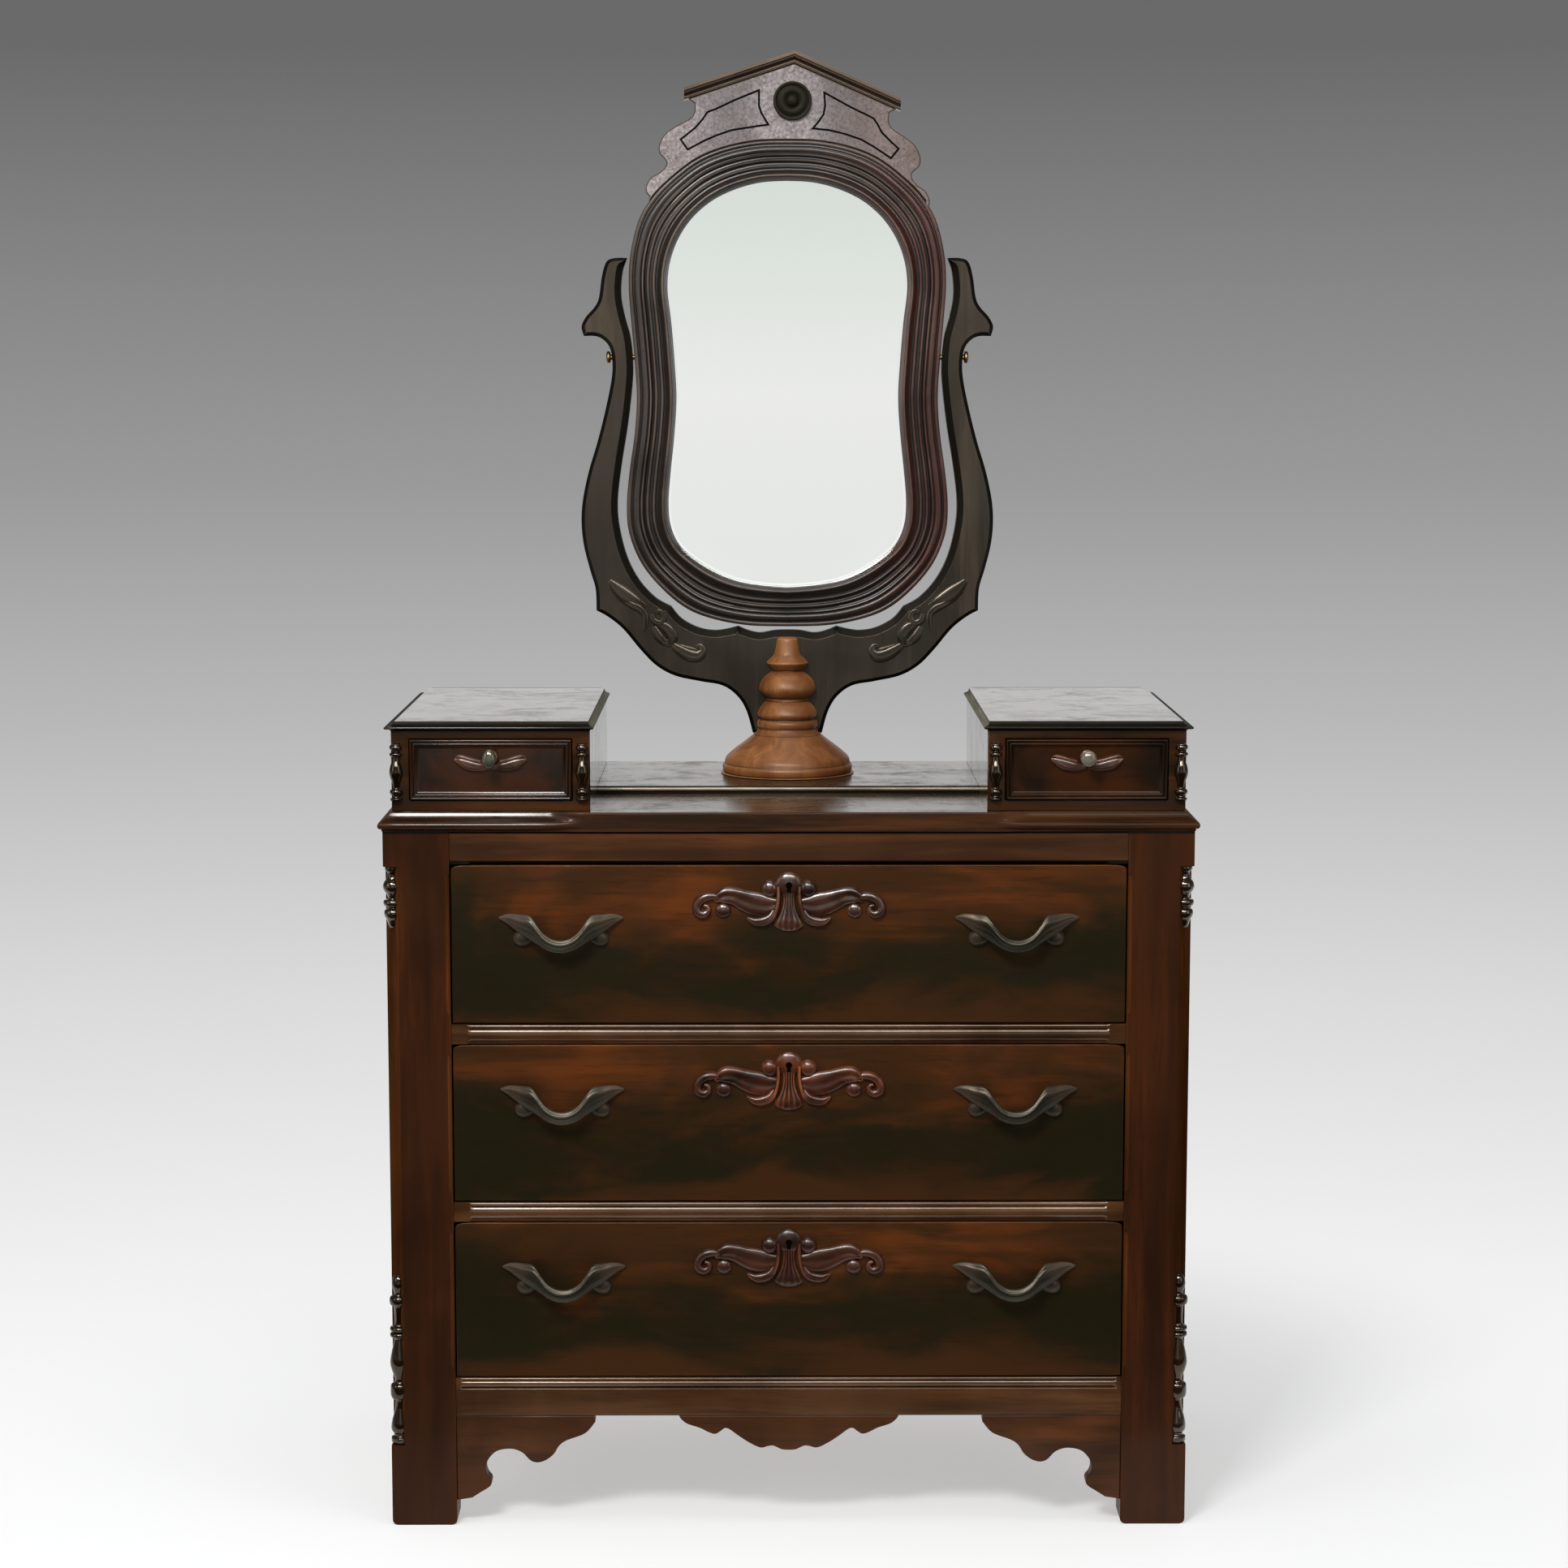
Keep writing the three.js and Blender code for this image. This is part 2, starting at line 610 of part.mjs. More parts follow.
// Cutter that leaves a moulded face on a rail's front edge
function mouldCutter(bottom, height, half) {
  const face = scaled(mouldShares, mouldDepth, height).map(([depth, up]) => [railSetback + depth, bottom + up]);
  const top = bottom + height + overrun;
  return alongX([[-overrun, top], [face[0][0], top], ...face, [-overrun, bottom]], -half, half);
}

// Socket in a rail's underside for the lock bolt of the drawer below
function boltSocket(underside) {
  const half = boltThickness / 2 + seatGap;
  return wideBlock(boltWidth / 2 + drawerGap, boltMiddle - half - drawerGap, boltMiddle + half + drawerGap,
    underside - overrun, underside + mortiseDepth);
}

function dividerRail() {
  const rail = wideBlock(openingHalf - seatGap, railSetback, dividerDepth, -dividerHeight, 0);
  return shaped(rail, {
    cut: [mouldCutter(-dividerHeight, dividerHeight, openingHalf - mouldStop), boltSocket(-dividerHeight)],
  });
}

function topRail() {
  const rail = wideBlock(openingHalf - seatGap, railSetback, railDepth, topRailFloor, topBoardFloor - seatGap);
  const chamfer = alongX([
    [-overrun, topRailFloor - overrun], [railSetback + topRailChamfer, topRailFloor - overrun],
    [railSetback + topRailChamfer, topRailFloor], [railSetback, topRailFloor + topRailChamfer],
    [-overrun, topRailFloor + topRailChamfer],
  ], -openingHalf + topRailStop, openingHalf - topRailStop);
  return shaped(rail, { cut: [chamfer, boltSocket(topRailFloor)] });
}

function bottomRail() {
  const rail = wideBlock(openingHalf - seatGap, railSetback, dividerDepth, footHeight, lowestOpening);
  const mould = mouldCutter(lowestOpening - bottomMouldHeight, bottomMouldHeight, openingHalf - mouldStop);
  return shaped(rail, { cut: [mould] });
}

// Scrolled bracket that fills the corner between a post and the bottom rail, corner at X = 0
function apronBracket() {
  const points = scaled(bracketShares, bracketWidth, bracketDrop);
  const shape = outline([[seatGap, 0], ...points.slice(0, -1), [seatGap, -bracketDrop]]);
  return fromFront(shape, railSetback, apronThickness);
}

function apronPendant() {
  const half = scaled(pendantShares, pendantHalfWidth, pendantDrop);
  const other = half.slice(0, -1).reverse().map(([x, z]) => [-x, z]);
  return fromFront(outline([...half, ...other]), railSetback, apronThickness);
}

// Back with two fielded recesses
function backPanel() {
  const half = sideInner - seatGap;
  const top = topBoardFloor - seatGap;
  const board = wideBlock(half, backInner, backInner + backThickness, footHeight, top);
  const cuts = [-1, 1].map((side) => {
    const near = side * backFrameWidth / 2;
    const far = side * (half - backFrameWidth);
    return block(Math.min(near, far), Math.max(near, far), backInner + backThickness - backPanelRecess,
      backInner + backThickness + overrun, footHeight + backFrameWidth, top - backFrameWidth);
  });
  return shaped(board, { cut: cuts });
}

// Runners, rear rail and side guides under one drawer, top face at Z = 0
function runnerFrame() {
  const front = dividerDepth + seatGap;
  const rear = backInner - seatGap;
  const outer = sideInner - seatGap;
  const railFront = rear - runnerRailWidth;
  const parts = [-1, 1].flatMap((side) => {
    const edge = side * outer;
    const inner = side * (outer - runnerWidth);
    const guide = side * openingHalf;
    return [
      block(Math.min(edge, inner), Math.max(edge, inner), front, rear, -runnerHeight, 0),
      block(Math.min(edge, guide), Math.max(edge, guide), front, rear, -runnerHeight, guideHeight),
    ];
  });
  return shaped(wideBlock(outer, railFront, rear, -runnerHeight, 0), { add: parts });
}

// Top board, coved and nosed under the small boxes; the edge dies into a plain one across the well.
function topBoard() {
  const plan = [[-halfCase, 0, -1, -1, 1]];
  for (const side of [-1, 1]) {
    const run = edgeFadeShares.map((share, i) => {
      const x = breakOuter + (breakInner - breakOuter) * i / (edgeFadeShares.length - 1);
      return [side * x, 0, 0, -1, share];
    });
    plan.push(...(side < 0 ? run : run.reverse()));
  }
  plan.push([halfCase, 0, 1, -1, 1], [halfCase, caseDepth, 1, 0, 1], [-halfCase, caseDepth, -1, 0, 1]);
  const height = topBoardHeight;
  const rows = edgeMouldShares.map(([out, up]) => plan.map(([x, y, outX, outY, share]) => {
    const reach = out * topReach * share + centreEdge * (1 - share);
    return new THREE.Vector3(x + outX * reach, y + outY * reach, topBoardFloor + up * height);
  }));
  return loft(rows);
}

function wellDeck() {
  const half = gloveInner - seatGap;
  const floor = caseTop + seatGap;
  const points = [[caseDepth, floor], [caseDepth, deckTop], [wellDepth + deckNose, deckTop]];
  for (let i = 1; i <= deckNoseSteps; i += 1) {
    const angle = Math.PI / 2 * i / deckNoseSteps;
    points.push([
      wellDepth + deckNose * (1 - Math.sin(angle)), deckTop - deckNose * (1 - Math.cos(angle)),
    ]);
  }
  points.push([wellDepth, floor]);
  return alongX(points.reverse(), -half, half);
}

// Small left-hand box that stands on the top board, its middle at X = 0 and its floor at Z = 0
function gloveCase() {
  const half = gloveWidth / 2;
  const shell = block(-half, half, topInset, topInset + gloveDepth, 0, gloveHeight);
  const hollow = wideBlock(gloveOpening / 2, topInset - overrun, topInset + gloveDepth - gloveBack,
    gloveRail, gloveRail + gloveOpeningHeight);
  const turnings = [outerTurningInset - half, half - innerTurningInset].map((x) => {
    const turning = turned(gloveTurningShares, gloveTurningRadius, gloveTurningLength, turningSides);
    return turning.translate(x, topInset, gloveRail);
  });
  return shaped(shell, { add: turnings, cut: [hollow] });
}

// Board over a small box: square corners in front, rounded ones behind
function gloveTop() {
  const half = gloveWidth / 2;
  const front = topInset;
  const back = topInset + gloveDepth;
  const plan = [[-half, front, -1, -1], [half, front, 1, -1]];
  for (const side of [1, -1]) {
    for (let i = 0; i <= gloveCornerSteps; i += 1) {
      const angle = Math.PI / 2 * (side > 0 ? i : gloveCornerSteps - i) / gloveCornerSteps;
      const outX = side * Math.cos(angle);
      const outY = Math.sin(angle);
      plan.push([
        side * (half - gloveCorner) + outX * gloveCorner, back - gloveCorner + outY * gloveCorner, outX, 0,
      ]);
    }
  }
  const rows = edgeMouldShares.map(([out, up]) => plan.map(([x, y, outX, outY]) => {
    const reach = out > 0 ? out * gloveReach : out * gloveTopInset;
    return new THREE.Vector3(x + outX * reach, y + outY * reach, up * gloveBoard);
  }));
  return loft(rows);
}

// Small drawer front with a mitred picture moulding round a sunk panel
function gloveFront() {
  const half = gloveOpening / 2 - gloveGap;
  const floor = gloveGap;
  const top = gloveOpeningHeight - gloveGap;
  const steps = [[0, -gloveFrontThickness], ...scaled(gloveRimShares, glovePanelRim, gloveFrontProud)];
  const rows = steps.map(([inset, proud]) => [
    [-half + inset, floor + inset], [half - inset, floor + inset], [half - inset, top - inset],
    [-half + inset, top - inset],
  ].map(([x, z]) => new THREE.Vector3(x, topInset - proud, z)));
  return loft(rows);
}

// Open tray: sides, back and bottom, closed in front by the drawer's own front
function tray(half, front, depth, floor, height, wall, bottom) {
  const body = wideBlock(half, front, front + depth, floor, floor + height);
  const hollow = wideBlock(half - wall, front - overrun, front + depth - wall, floor + bottom,
    floor + height + overrun);
  return shaped(body, { cut: [hollow] });
}

function drawerFront() {
  const top = openingHeight - drawerGap;
  const board = wideBlock(openingHalf - drawerGap, frontRecess, frontBack, drawerGap, top);
  const lockRecess = wideBlock(lockWidth / 2 + seatGap, lockFront - seatGap, frontBack + overrun,
    top - lockHeight - seatGap, top + overrun);
  return shaped(board, { cut: [lockRecess] });
}

function lockCase() {
  const top = openingHeight - drawerGap;
  const body = wideBlock(lockWidth / 2, lockFront, lockFront + lockThickness, top - lockHeight, top);
  const slot = wideBlock(boltWidth / 2 + seatGap, boltMiddle - boltThickness / 2 - seatGap,
    boltMiddle + boltThickness / 2 + seatGap, top - boltHeight - seatGap, top + overrun);
  return shaped(body, { cut: [slot] });
}

function lockBolt() {
  const top = openingHeight - drawerGap;
  return wideBlock(boltWidth / 2, boltMiddle - boltThickness / 2, boltMiddle + boltThickness / 2,
    top - boltHeight, top);
}

// Carved pull: two leaves that run out of a sagging grip, on a lobe behind each leaf. Its back is Y = 0.
function carvedPull() {
  const mirror = pullStationShares.slice(0, -1).reverse().map(([along, ...rest]) => [-along, ...rest]);
  const rows = [...pullStationShares, ...mirror].map(([along, up, tall, forward, thick]) => {
    const row = [];
    for (let k = 0; k < pullSides; k += 1) {
      const angle = 2 * Math.PI * k / pullSides;
      row.push(new THREE.Vector3(
        along * pullHalfLength,
        -forward * pullDepth + Math.sin(angle) * thick * pullDepth,
        up * pullHeight + Math.cos(angle) * tall * pullHeight,
      ));
    }
    return row;
  });
  const lobes = [-1, 1].map((side) => {
    const lobe = mergeVertices(new THREE.SphereGeometry(1, pullSides, pullSides / 2));
    lobe.scale(lobeRadius, lobeRise, lobeHeight);
    return lobe.translate(side * lobeShares[0] * pullHalfLength, 0, lobeShares[1] * pullHeight);
  });
  const behind = wideBlock(2 * pullHalfLength, 0, 2 * pullDepth, -2 * pullHeight, 2 * pullHeight);
  return shaped(loft(rows), { add: lobes, cut: [behind] });
}

// Carved keyhole plate: scrolls and leaves to each side of a hooded keyhole, back at Y = 0
function keyholeCarving() {
  const parts = [];
  for (const stations of carvingStrokeShares) {
    for (const path of [stations, flipped(stations)]) {
      parts.push(stroke(path, carvingHalfWidth, carvingHeight, carvingRise));
    }
  }
  parts.push(stroke(carvingHoodShares, carvingHalfWidth, carvingHeight, carvingRise));
  const [along, up, radius] = carvingBallShares;
  for (const side of [-1, 1]) {
    const ball = mergeVertices(new THREE.SphereGeometry(radius * carvingHalfWidth, ballSides, ballSides / 2));
    parts.push(ball.translate(side * along * carvingHalfWidth, 0, up * carvingHeight));
  }
  const hole = new THREE.Shape();
  hole.absarc(0, 0, keyholeRadius, -Math.PI / 4, 5 * Math.PI / 4);
  hole.lineTo(-keyholeRadius / 2, -keyholeDrop);
  hole.lineTo(keyholeRadius / 2, -keyholeDrop);
  const key = fromFront(hole, -2 * carvingRise, 3 * carvingRise, { curveSegments: keyholeSteps });
  const behind = wideBlock(2 * carvingHalfWidth, 0, 2 * carvingRise, -2 * carvingHeight, 2 * carvingHeight);
  const plate = shaped(stroke(carvingFanShares, carvingHalfWidth, carvingHeight, carvingRise), { add: parts });
  return shaped(plate, { cut: [key, behind] });
}

// Leaf to each side of the round boss that the knob stands on, back at Y = 0
function carvedLeaf() {
  const right = stroke(flipped(leafStrokeShares), leafHalfWidth, leafHeight, leafRise);
  const boss = new THREE.CylinderGeometry(leafBossRadius, leafBossRadius, leafRise, knobSides);
  boss.translate(0, -leafRise / 2, knobLift);
  return shaped(stroke(leafStrokeShares, leafHalfWidth, leafHeight, leafRise), { add: [right, boss] });
}

function turnedKnob(width, height) {
  const knob = turned(knobShares, 1, knobLength, knobSides).rotateX(Math.PI / 2);
  return knob.scale(width / 2, 1, height / 2);
}

// Pedestal, halved behind its axis above the lap so that the wishbone's stem stands on it
function pedestal() {
  const turning = turned(pedestalShares, pedestalRadius, pedestalHeight, pedestalSides);
  const rear = wideBlock(pedestalRadius, 0, pedestalRadius, lapHeight, pedestalHeight + overrun);
  const mortise = wideBlock(tenonWidth / 2 + seatGap, tenonShoulder, harpThickness - tenonShoulder + 2 * seatGap,
    lapHeight - tenonDepth - seatGap, lapHeight + overrun);
  return shaped(turning, { cut: [rear, mortise] });
}

function spline(points, steps) {
  const curve = new THREE.SplineCurve(points.map(([x, z]) => new THREE.Vector2(x, z)));
  return curve.getPoints((points.length - 1) * steps).map((point) => [point.x, point.y]);
}

// Wishbone: outline, softened front edges, tenon below and a pivot hole through each arm
function harp() {
  const side = [harpTipShares, harpArmShares, harpFootShares]
    .flatMap((shares) => spline(scaled(shares, harpHalfWidth, harpHeight), harpSteps).slice(0, -1));
  side.push(scaled([harpFootShares.at(-1)], harpHalfWidth, harpHeight)[0]);
  const inner = harpInnerShares
    .flatMap((shares) => spline(scaled(shares, harpHalfWidth, harpHeight), harpSteps).slice(0, -1));
  const left = [...inner, ...side];
  const right = left.slice(1).reverse().map(([x, z]) => [-x, z]);
  const shape = outline([...left, ...right]);
  const bevel = { bevelEnabled: true, bevelSize: harpEdge, bevelThickness: harpEdge, bevelOffset: -harpEdge,
    bevelSegments: 1 };
  const body = fromFront(shape, harpEdge, harpThickness - 2 * harpEdge, bevel);
  const tenon = wideBlock(tenonWidth / 2, tenonShoulder, harpThickness - tenonShoulder, -tenonDepth, harpEdge);
  const hole = new THREE.CylinderGeometry(pivotHoleRadius, pivotHoleRadius, 2 * (harpHalfWidth + overrun),
    pivotSides);
  hole.rotateZ(Math.PI / 2).translate(0, harpThickness / 2, pivotHeight);
  return shaped(body, { add: [tenon], cut: [hole] });
}

// Half width of the mirror frame, or of the wishbone's outer edge, at the pivot
function halfWidthAt(shares, width, height, level) {
  const points = scaled(shares, width, height);
  for (let i = 1; i < points.length; i += 1) {
    const [x0, z0] = points[i - 1];
    const [x1, z1] = points[i];
    if ((z0 - level) * (z1 - level) <= 0) {
      return x0 + (x1 - x0) * (level - z0) / (z1 - z0);
    }
  }
  return width;
}

// Pivot screw on the axis Y = 0, Z = 0, its head outside the left arm
function pivotScrew() {
  const frameEdge = halfWidthAt(frameOuterShares, frameHalfWidth, frameHeight, frameDrop);
  const armEdge = halfWidthAt(harpArmShares, harpHalfWidth, harpHeight, pivotHeight) + pivotStandoff;
  const tip = frameEdge - pivotGrip + 2 * seatGap;
  const profile = [
    [0, tip], [pivotRadius, tip], [pivotRadius, armEdge], [pivotHeadRadius / 2, armEdge],
    [pivotHeadRadius, armEdge + pivotHeadLength / 3], [pivotHeadRadius, armEdge + pivotHeadLength * 2 / 3],
    [pivotHeadRadius / 2, armEdge + pivotHeadLength], [0, armEdge + pivotHeadLength],
  ].map(([radius, x]) => new THREE.Vector2(radius, x));
  return new THREE.LatheGeometry(profile, pivotSides).rotateZ(Math.PI / 2);
}

// Matched points of the frame's outer edge and its opening, once round from the top
function frameLoops() {
  const loops = [frameOuterShares, frameInnerShares].map((shares) => {
    const right = spline(scaled(shares, frameHalfWidth, frameHeight), frameSteps);
    const left = right.slice(1, -1).reverse().map(([x, z]) => [-x, z]);
    return [...right, ...left];
  });
  return loops[0].map((outer, i) => [outer, loops[1][i]]);
}

// The loop that lies at one share of the way from the frame's outer edge to its opening
function frameLoop(share) {
  return frameLoops().map(([outer, inner]) => [
    outer[0] + (inner[0] - outer[0]) * share, outer[1] + (inner[1] - outer[1]) * share,
  ]);
}

// Mirror frame: one moulded section swept round the waisted outline. The back is Y = 0.
function mirrorFrame() {
  const rows = frameLoops().map(([outer, inner]) => frameSectionShares.map(([across, forward]) => (
    new THREE.Vector3(
      outer[0] + (inner[0] - outer[0]) * across,
      -forward * frameDepth,
      outer[1] + (inner[1] - outer[1]) * across,
    ))));
  const edge = halfWidthAt(frameOuterShares, frameHalfWidth, frameHeight, frameDrop);
  const holes = [-1, 1].map((side) => {
    const hole = new THREE.CylinderGeometry(pivotHoleRadius, pivotHoleRadius, pivotGrip + overrun, pivotSides);
    const middle = edge + overrun - (pivotGrip + overrun) / 2;
    return hole.rotateZ(Math.PI / 2).translate(side * middle, -pivotFromBack, frameDrop);
  });
  return shaped(loft(rows, { ring: true }), { cut: holes });
}

function frameLip() {
  const lip = frameSectionShares.find(([across, forward], i, all) => across === 1 && all[i - 1][0] === 1);
  return lip[1] * frameDepth;
}

function framePlate(back, thickness) {
  return fromFront(outline(frameLoop(glassShare)), -back - thickness, thickness);
}

// Crest board: scrolled sides, two raking top edges and a lower edge that fits the frame. Floor at Z = 0.
function crestBoard() {
  const half = scaled(crestSideShares, crestHalfWidth, crestHeight);
  const left = half.map(([x, z]) => [-x, z]).reverse();
  const shoulder = corniceHalfWidth - corniceReach / 2;
  const eave = crestHeight - corniceRise * shoulder / corniceHalfWidth;
  const board = fromFront(outline([
    ...half, [shoulder, eave], [0, crestHeight], [-shoulder, eave], ...left,
  ]), 0, crestThickness);
  const waistShare = Math.min(...frameInnerShares.slice(8, 14).map(([across]) => across));
  const clear = -seatGap / (frameHalfWidth * (1 - waistShare));
  const frame = fromFront(outline(frameLoop(clear)), -overrun, crestThickness + 2 * overrun);
  frame.translate(0, 0, crestOverlap - frameHeight).rotateY(-crestLean);
  return shaped(board, { cut: [frame] });
}

// Raking cornice, mitred at the peak, lower edge on the crest board
function crestCornice() {
  const depth = crestThickness + corniceReach;
  const eave = crestHeight - corniceRise;
  const rows = [[-corniceHalfWidth, eave], [0, crestHeight], [corniceHalfWidth, eave]].map(([x, z]) => (
    corniceShares.map(([forward, up]) => (
      new THREE.Vector3(x, crestThickness - forward * depth, z + seatGap + up * corniceHeight)))));
  return loft(rows);
}

function rosette() {
  return turned(rosetteShares, rosetteRadius, rosetteThickness, rosetteSides).rotateX(Math.PI / 2);
}

function addCase() {
  const post = cornerPost();
  piece('corner_post_left', post, caseWood).position.x = -halfCase;
  piece('corner_post_right', mirrored(post), caseWood).position.x = halfCase;
  const side = sideFrame();
  piece('side_left', side, caseWood).position.x = -halfCase;
  piece('side_right', mirrored(side), caseWood).position.x = halfCase;
  piece('rail_top', topRail(), caseWood);
  piece('rail_bottom', bottomRail(), caseWood);
  const divider = dividerRail();
  const frame = runnerFrame();
  const levels = ['upper', 'middle', 'lower'];
  for (let number = 1; number <= drawerCount; number += 1) {
    piece(`runner_frame_${levels[number - 1]}`, frame, innerWood).position.z = openingFloor(number);
    if (number < drawerCount) {
      piece(`divider_${levels[number - 1]}`, divider, caseWood).position.z = openingFloor(number);
    }
  }
  const bracket = apronBracket();
  piece('bracket_left', bracket, caseWood).position.set(-openingHalf, 0, footHeight - seatGap);
  piece('bracket_right', mirrored(bracket), caseWood).position.set(openingHalf, 0, footHeight - seatGap);
  piece('apron_pendant', apronPendant(), caseWood).position.z = footHeight - seatGap;
  piece('back_panel', backPanel(), innerWood);
  piece('case_top', topBoard(), caseWood);
  piece('well_deck', wellDeck(), caseWood);
}

function addDrawers() {
  const front = drawerFront();
  const box = tray(openingHalf - drawerGap, frontBack + seatGap, trayDepth, seatGap, trayHeight, trayWall,
    trayFloor);
  const pull = carvedPull();
  const carving = keyholeCarving();
  const lock = lockCase();
  const bolt = lockBolt();
  for (let number = 1; number <= drawerCount; number += 1) {
    const drawer = new THREE.Group();
    drawer.position.z = openingFloor(number);
    dresser.add(drawer);
    piece(`drawer_front_${number}`, front, drawerWood, drawer);
    piece(`drawer_box_${number}`, box, innerWood, drawer);
    piece(`lock_${number}`, lock, brass, drawer);
    piece(`lock_bolt_${number}`, bolt, brass, drawer);
    const face = frontRecess - seatGap;
    const pullZ = openingHeight - pullDrops[number - 1];
    piece(`pull_${number}_left`, pull, pullWood, drawer).position.set(-pullSpacing / 2, face, pullZ);
    piece(`pull_${number}_right`, pull, pullWood, drawer).position.set(pullSpacing / 2, face, pullZ);
    piece(`escutcheon_${number}`, carving, carvedWood, drawer)
      .position.set(0, face, openingHeight - escutcheonDrop);
  }
}

function addGloveBoxes() {
  const shell = gloveCase();
  const board = gloveTop();
  const front = gloveFront();
  const half = gloveOpening / 2 - gloveGap;
  const box = tray(half, topInset + gloveFrontThickness + seatGap, gloveTrayDepth, seatGap, gloveTrayHeight,
    gloveTrayWall, gloveTrayFloor);
  const leaf = carvedLeaf();
  const sides = [['left', leftKnobWidth, leftKnobHeight], ['right', rightKnobWidth, rightKnobHeight]];
  for (const [side, width, height] of sides) {
    const group = new THREE.Group();
    group.position.set(side === 'left' ? -gloveMiddle : gloveMiddle, 0, gloveFloor);
    dresser.add(group);
    piece(`glove_case_${side}`, side === 'left' ? shell : mirrored(shell), caseWood, group);
    piece(`glove_top_${side}`, board, caseWood, group).position.z = gloveHeight + seatGap;
    const drawer = new THREE.Group();
    drawer.position.z = gloveRail;
    group.add(drawer);
    piece(`glove_front_${side}`, front, caseWood, drawer);
    piece(`glove_drawer_${side}`, box, innerWood, drawer);
    const leafZ = gloveOpeningHeight / 2 + leafLift;
    piece(`leaf_${side}`, leaf, carvedWood, drawer).position.set(0, topInset - seatGap, leafZ);
    piece(`knob_${side}`, turnedKnob(width, height), carvedWood, drawer)
      .position.set(0, topInset - leafRise - 2 * seatGap, leafZ + knobLift);
  }
}

function addMirror() {
  piece('pedestal', pedestal(), pedestalWood).position.set(0, pedestalY, pedestalFloor);
  piece('harp', harp(), harpWood).position.set(0, harpFront, harpFloor);
  const screw = pivotScrew();
  piece('pivot_screw_left', screw, brass).position.set(0, pivotY, pivotZ);
  const other = piece('pivot_screw_right', screw, brass);
  other.position.set(0, pivotY, pivotZ);
  other.rotation.z = Math.PI;
  const mirror = new THREE.Group();
  mirror.position.set(0, frameBack, frameBottom);
  dresser.add(mirror);
  piece('mirror_frame', mirrorFrame(), frameWood, mirror);
  const glassBack = frameLip() - seatGap - glassThickness;
  piece('mirror_glass', framePlate(glassBack, glassThickness), mirrorGlass, mirror);
  piece('mirror_back', framePlate(glassBack - seatGap - mirrorBackThickness, mirrorBackThickness), innerWood,
    mirror);
  const crest = new THREE.Group();
  crest.position.set(0, crestFront, crestFloor);
  crest.rotation.y = crestLean;
  dresser.add(crest);
  piece('crest_board', crestBoard(), crestWood, crest);
  piece('crest_cornice', crestCornice(), frameWood, crest);
  piece('rosette', rosette(), harpWood, crest).position.set(0, -seatGap, rosetteHeight);
}

addCase();
addDrawers();
addGloveBoxes();
addMirror();

// The origin lies on the floor under the middle of the whole outline, from the pulls to the back edge.
const frontMost = frontRecess - seatGap - pullDepth;
dresser.position.y = -(frontMost + caseDepth) / 2;

export default dresser;
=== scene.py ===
"""A Victorian dresser with a swinging mirror, modelled and finished round its own frame of solids.

Sizes are millimetres from the middle of the case front at the floor, and at() turns them into metres.
"""

import math

import bmesh
import bpy
import numpy as np
from bpy.props import FloatProperty, FloatVectorProperty, PointerProperty
from mathutils import Matrix, Vector


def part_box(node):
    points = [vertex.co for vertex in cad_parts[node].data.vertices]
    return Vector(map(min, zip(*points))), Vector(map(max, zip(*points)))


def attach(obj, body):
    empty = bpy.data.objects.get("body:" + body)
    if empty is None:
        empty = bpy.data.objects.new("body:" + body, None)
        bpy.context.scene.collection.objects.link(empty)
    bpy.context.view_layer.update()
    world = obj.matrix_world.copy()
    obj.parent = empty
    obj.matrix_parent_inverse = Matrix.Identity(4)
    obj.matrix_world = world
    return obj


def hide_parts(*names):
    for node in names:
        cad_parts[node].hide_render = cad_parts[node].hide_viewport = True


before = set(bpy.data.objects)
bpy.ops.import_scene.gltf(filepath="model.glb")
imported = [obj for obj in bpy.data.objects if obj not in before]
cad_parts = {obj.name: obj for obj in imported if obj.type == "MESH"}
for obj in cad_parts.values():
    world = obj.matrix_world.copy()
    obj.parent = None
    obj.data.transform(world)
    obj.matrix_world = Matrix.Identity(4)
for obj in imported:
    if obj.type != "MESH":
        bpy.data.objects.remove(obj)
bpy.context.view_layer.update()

bl_info = {
    "name": "Dresser with mirror",
    "version": (1, 0, 0),
    "blender": (4, 5, 0),
    "location": "View3D > Sidebar > Dresser",
    "description": "Builds and finishes a chest of drawers with a tilting mirror",
    "category": "Add Mesh",
}

MM = 0.001
FORWARDS = Matrix.Rotation(math.pi / 2, 4, "X")
SIDES = {"left": -1, "right": 1}
GAP = 0.3
BOARD_ARRIS = 1.4

# Case
CASE_DEPTH = 450
CASE_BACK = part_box("case_top")[1][1]
HALF_CASE = 503
POST_WIDTH = 82
POST_DEPTH = 50
CHAMFER_FLOOR = 104
CHAMFER_TOP = 845
LOWER_TURNING_HEIGHT = 220
UPPER_TURNING_FLOOR = 767
UPPER_TURNING_HEIGHT = 78
POST_TURNING_IN = 10.5
POST_TURNING_BACK = 12.5
POST_TURNING_RADIUS = 12
OPENING_HALF = 421
FOOT_HEIGHT = 142
LOWEST_OPENING = 192
OPENING_HEIGHT = 202
OPENING_PITCH = 227
DIVIDER_HEIGHT = 25
DIVIDER_STOP = 401
RAIL_BACK = 60
BOTTOM_RAIL_STOP = 415
TOP_RAIL_FLOOR = 848
TOP_RAIL_BACK = 36
TOP_RAIL_STOP = 397
SHADE_FLOOR = 886
TOP_BOARD_FLOOR = 892
RAIL_FRONT = 2
RAIL_EASE = 5
SOCKET_DEPTH = 8
SOCKET_ROOM = 1.5
BRACKET_WIDTH = 176
BRACKET_DROP = 110
PENDANT_HALF = 139
PENDANT_DROP = 45
APRON_THICKNESS = 20
TOP_EDGE_REACH = 5.5
TOP_EDGE_HEIGHT = 24
WELL_HALF = 302
FADE = 48

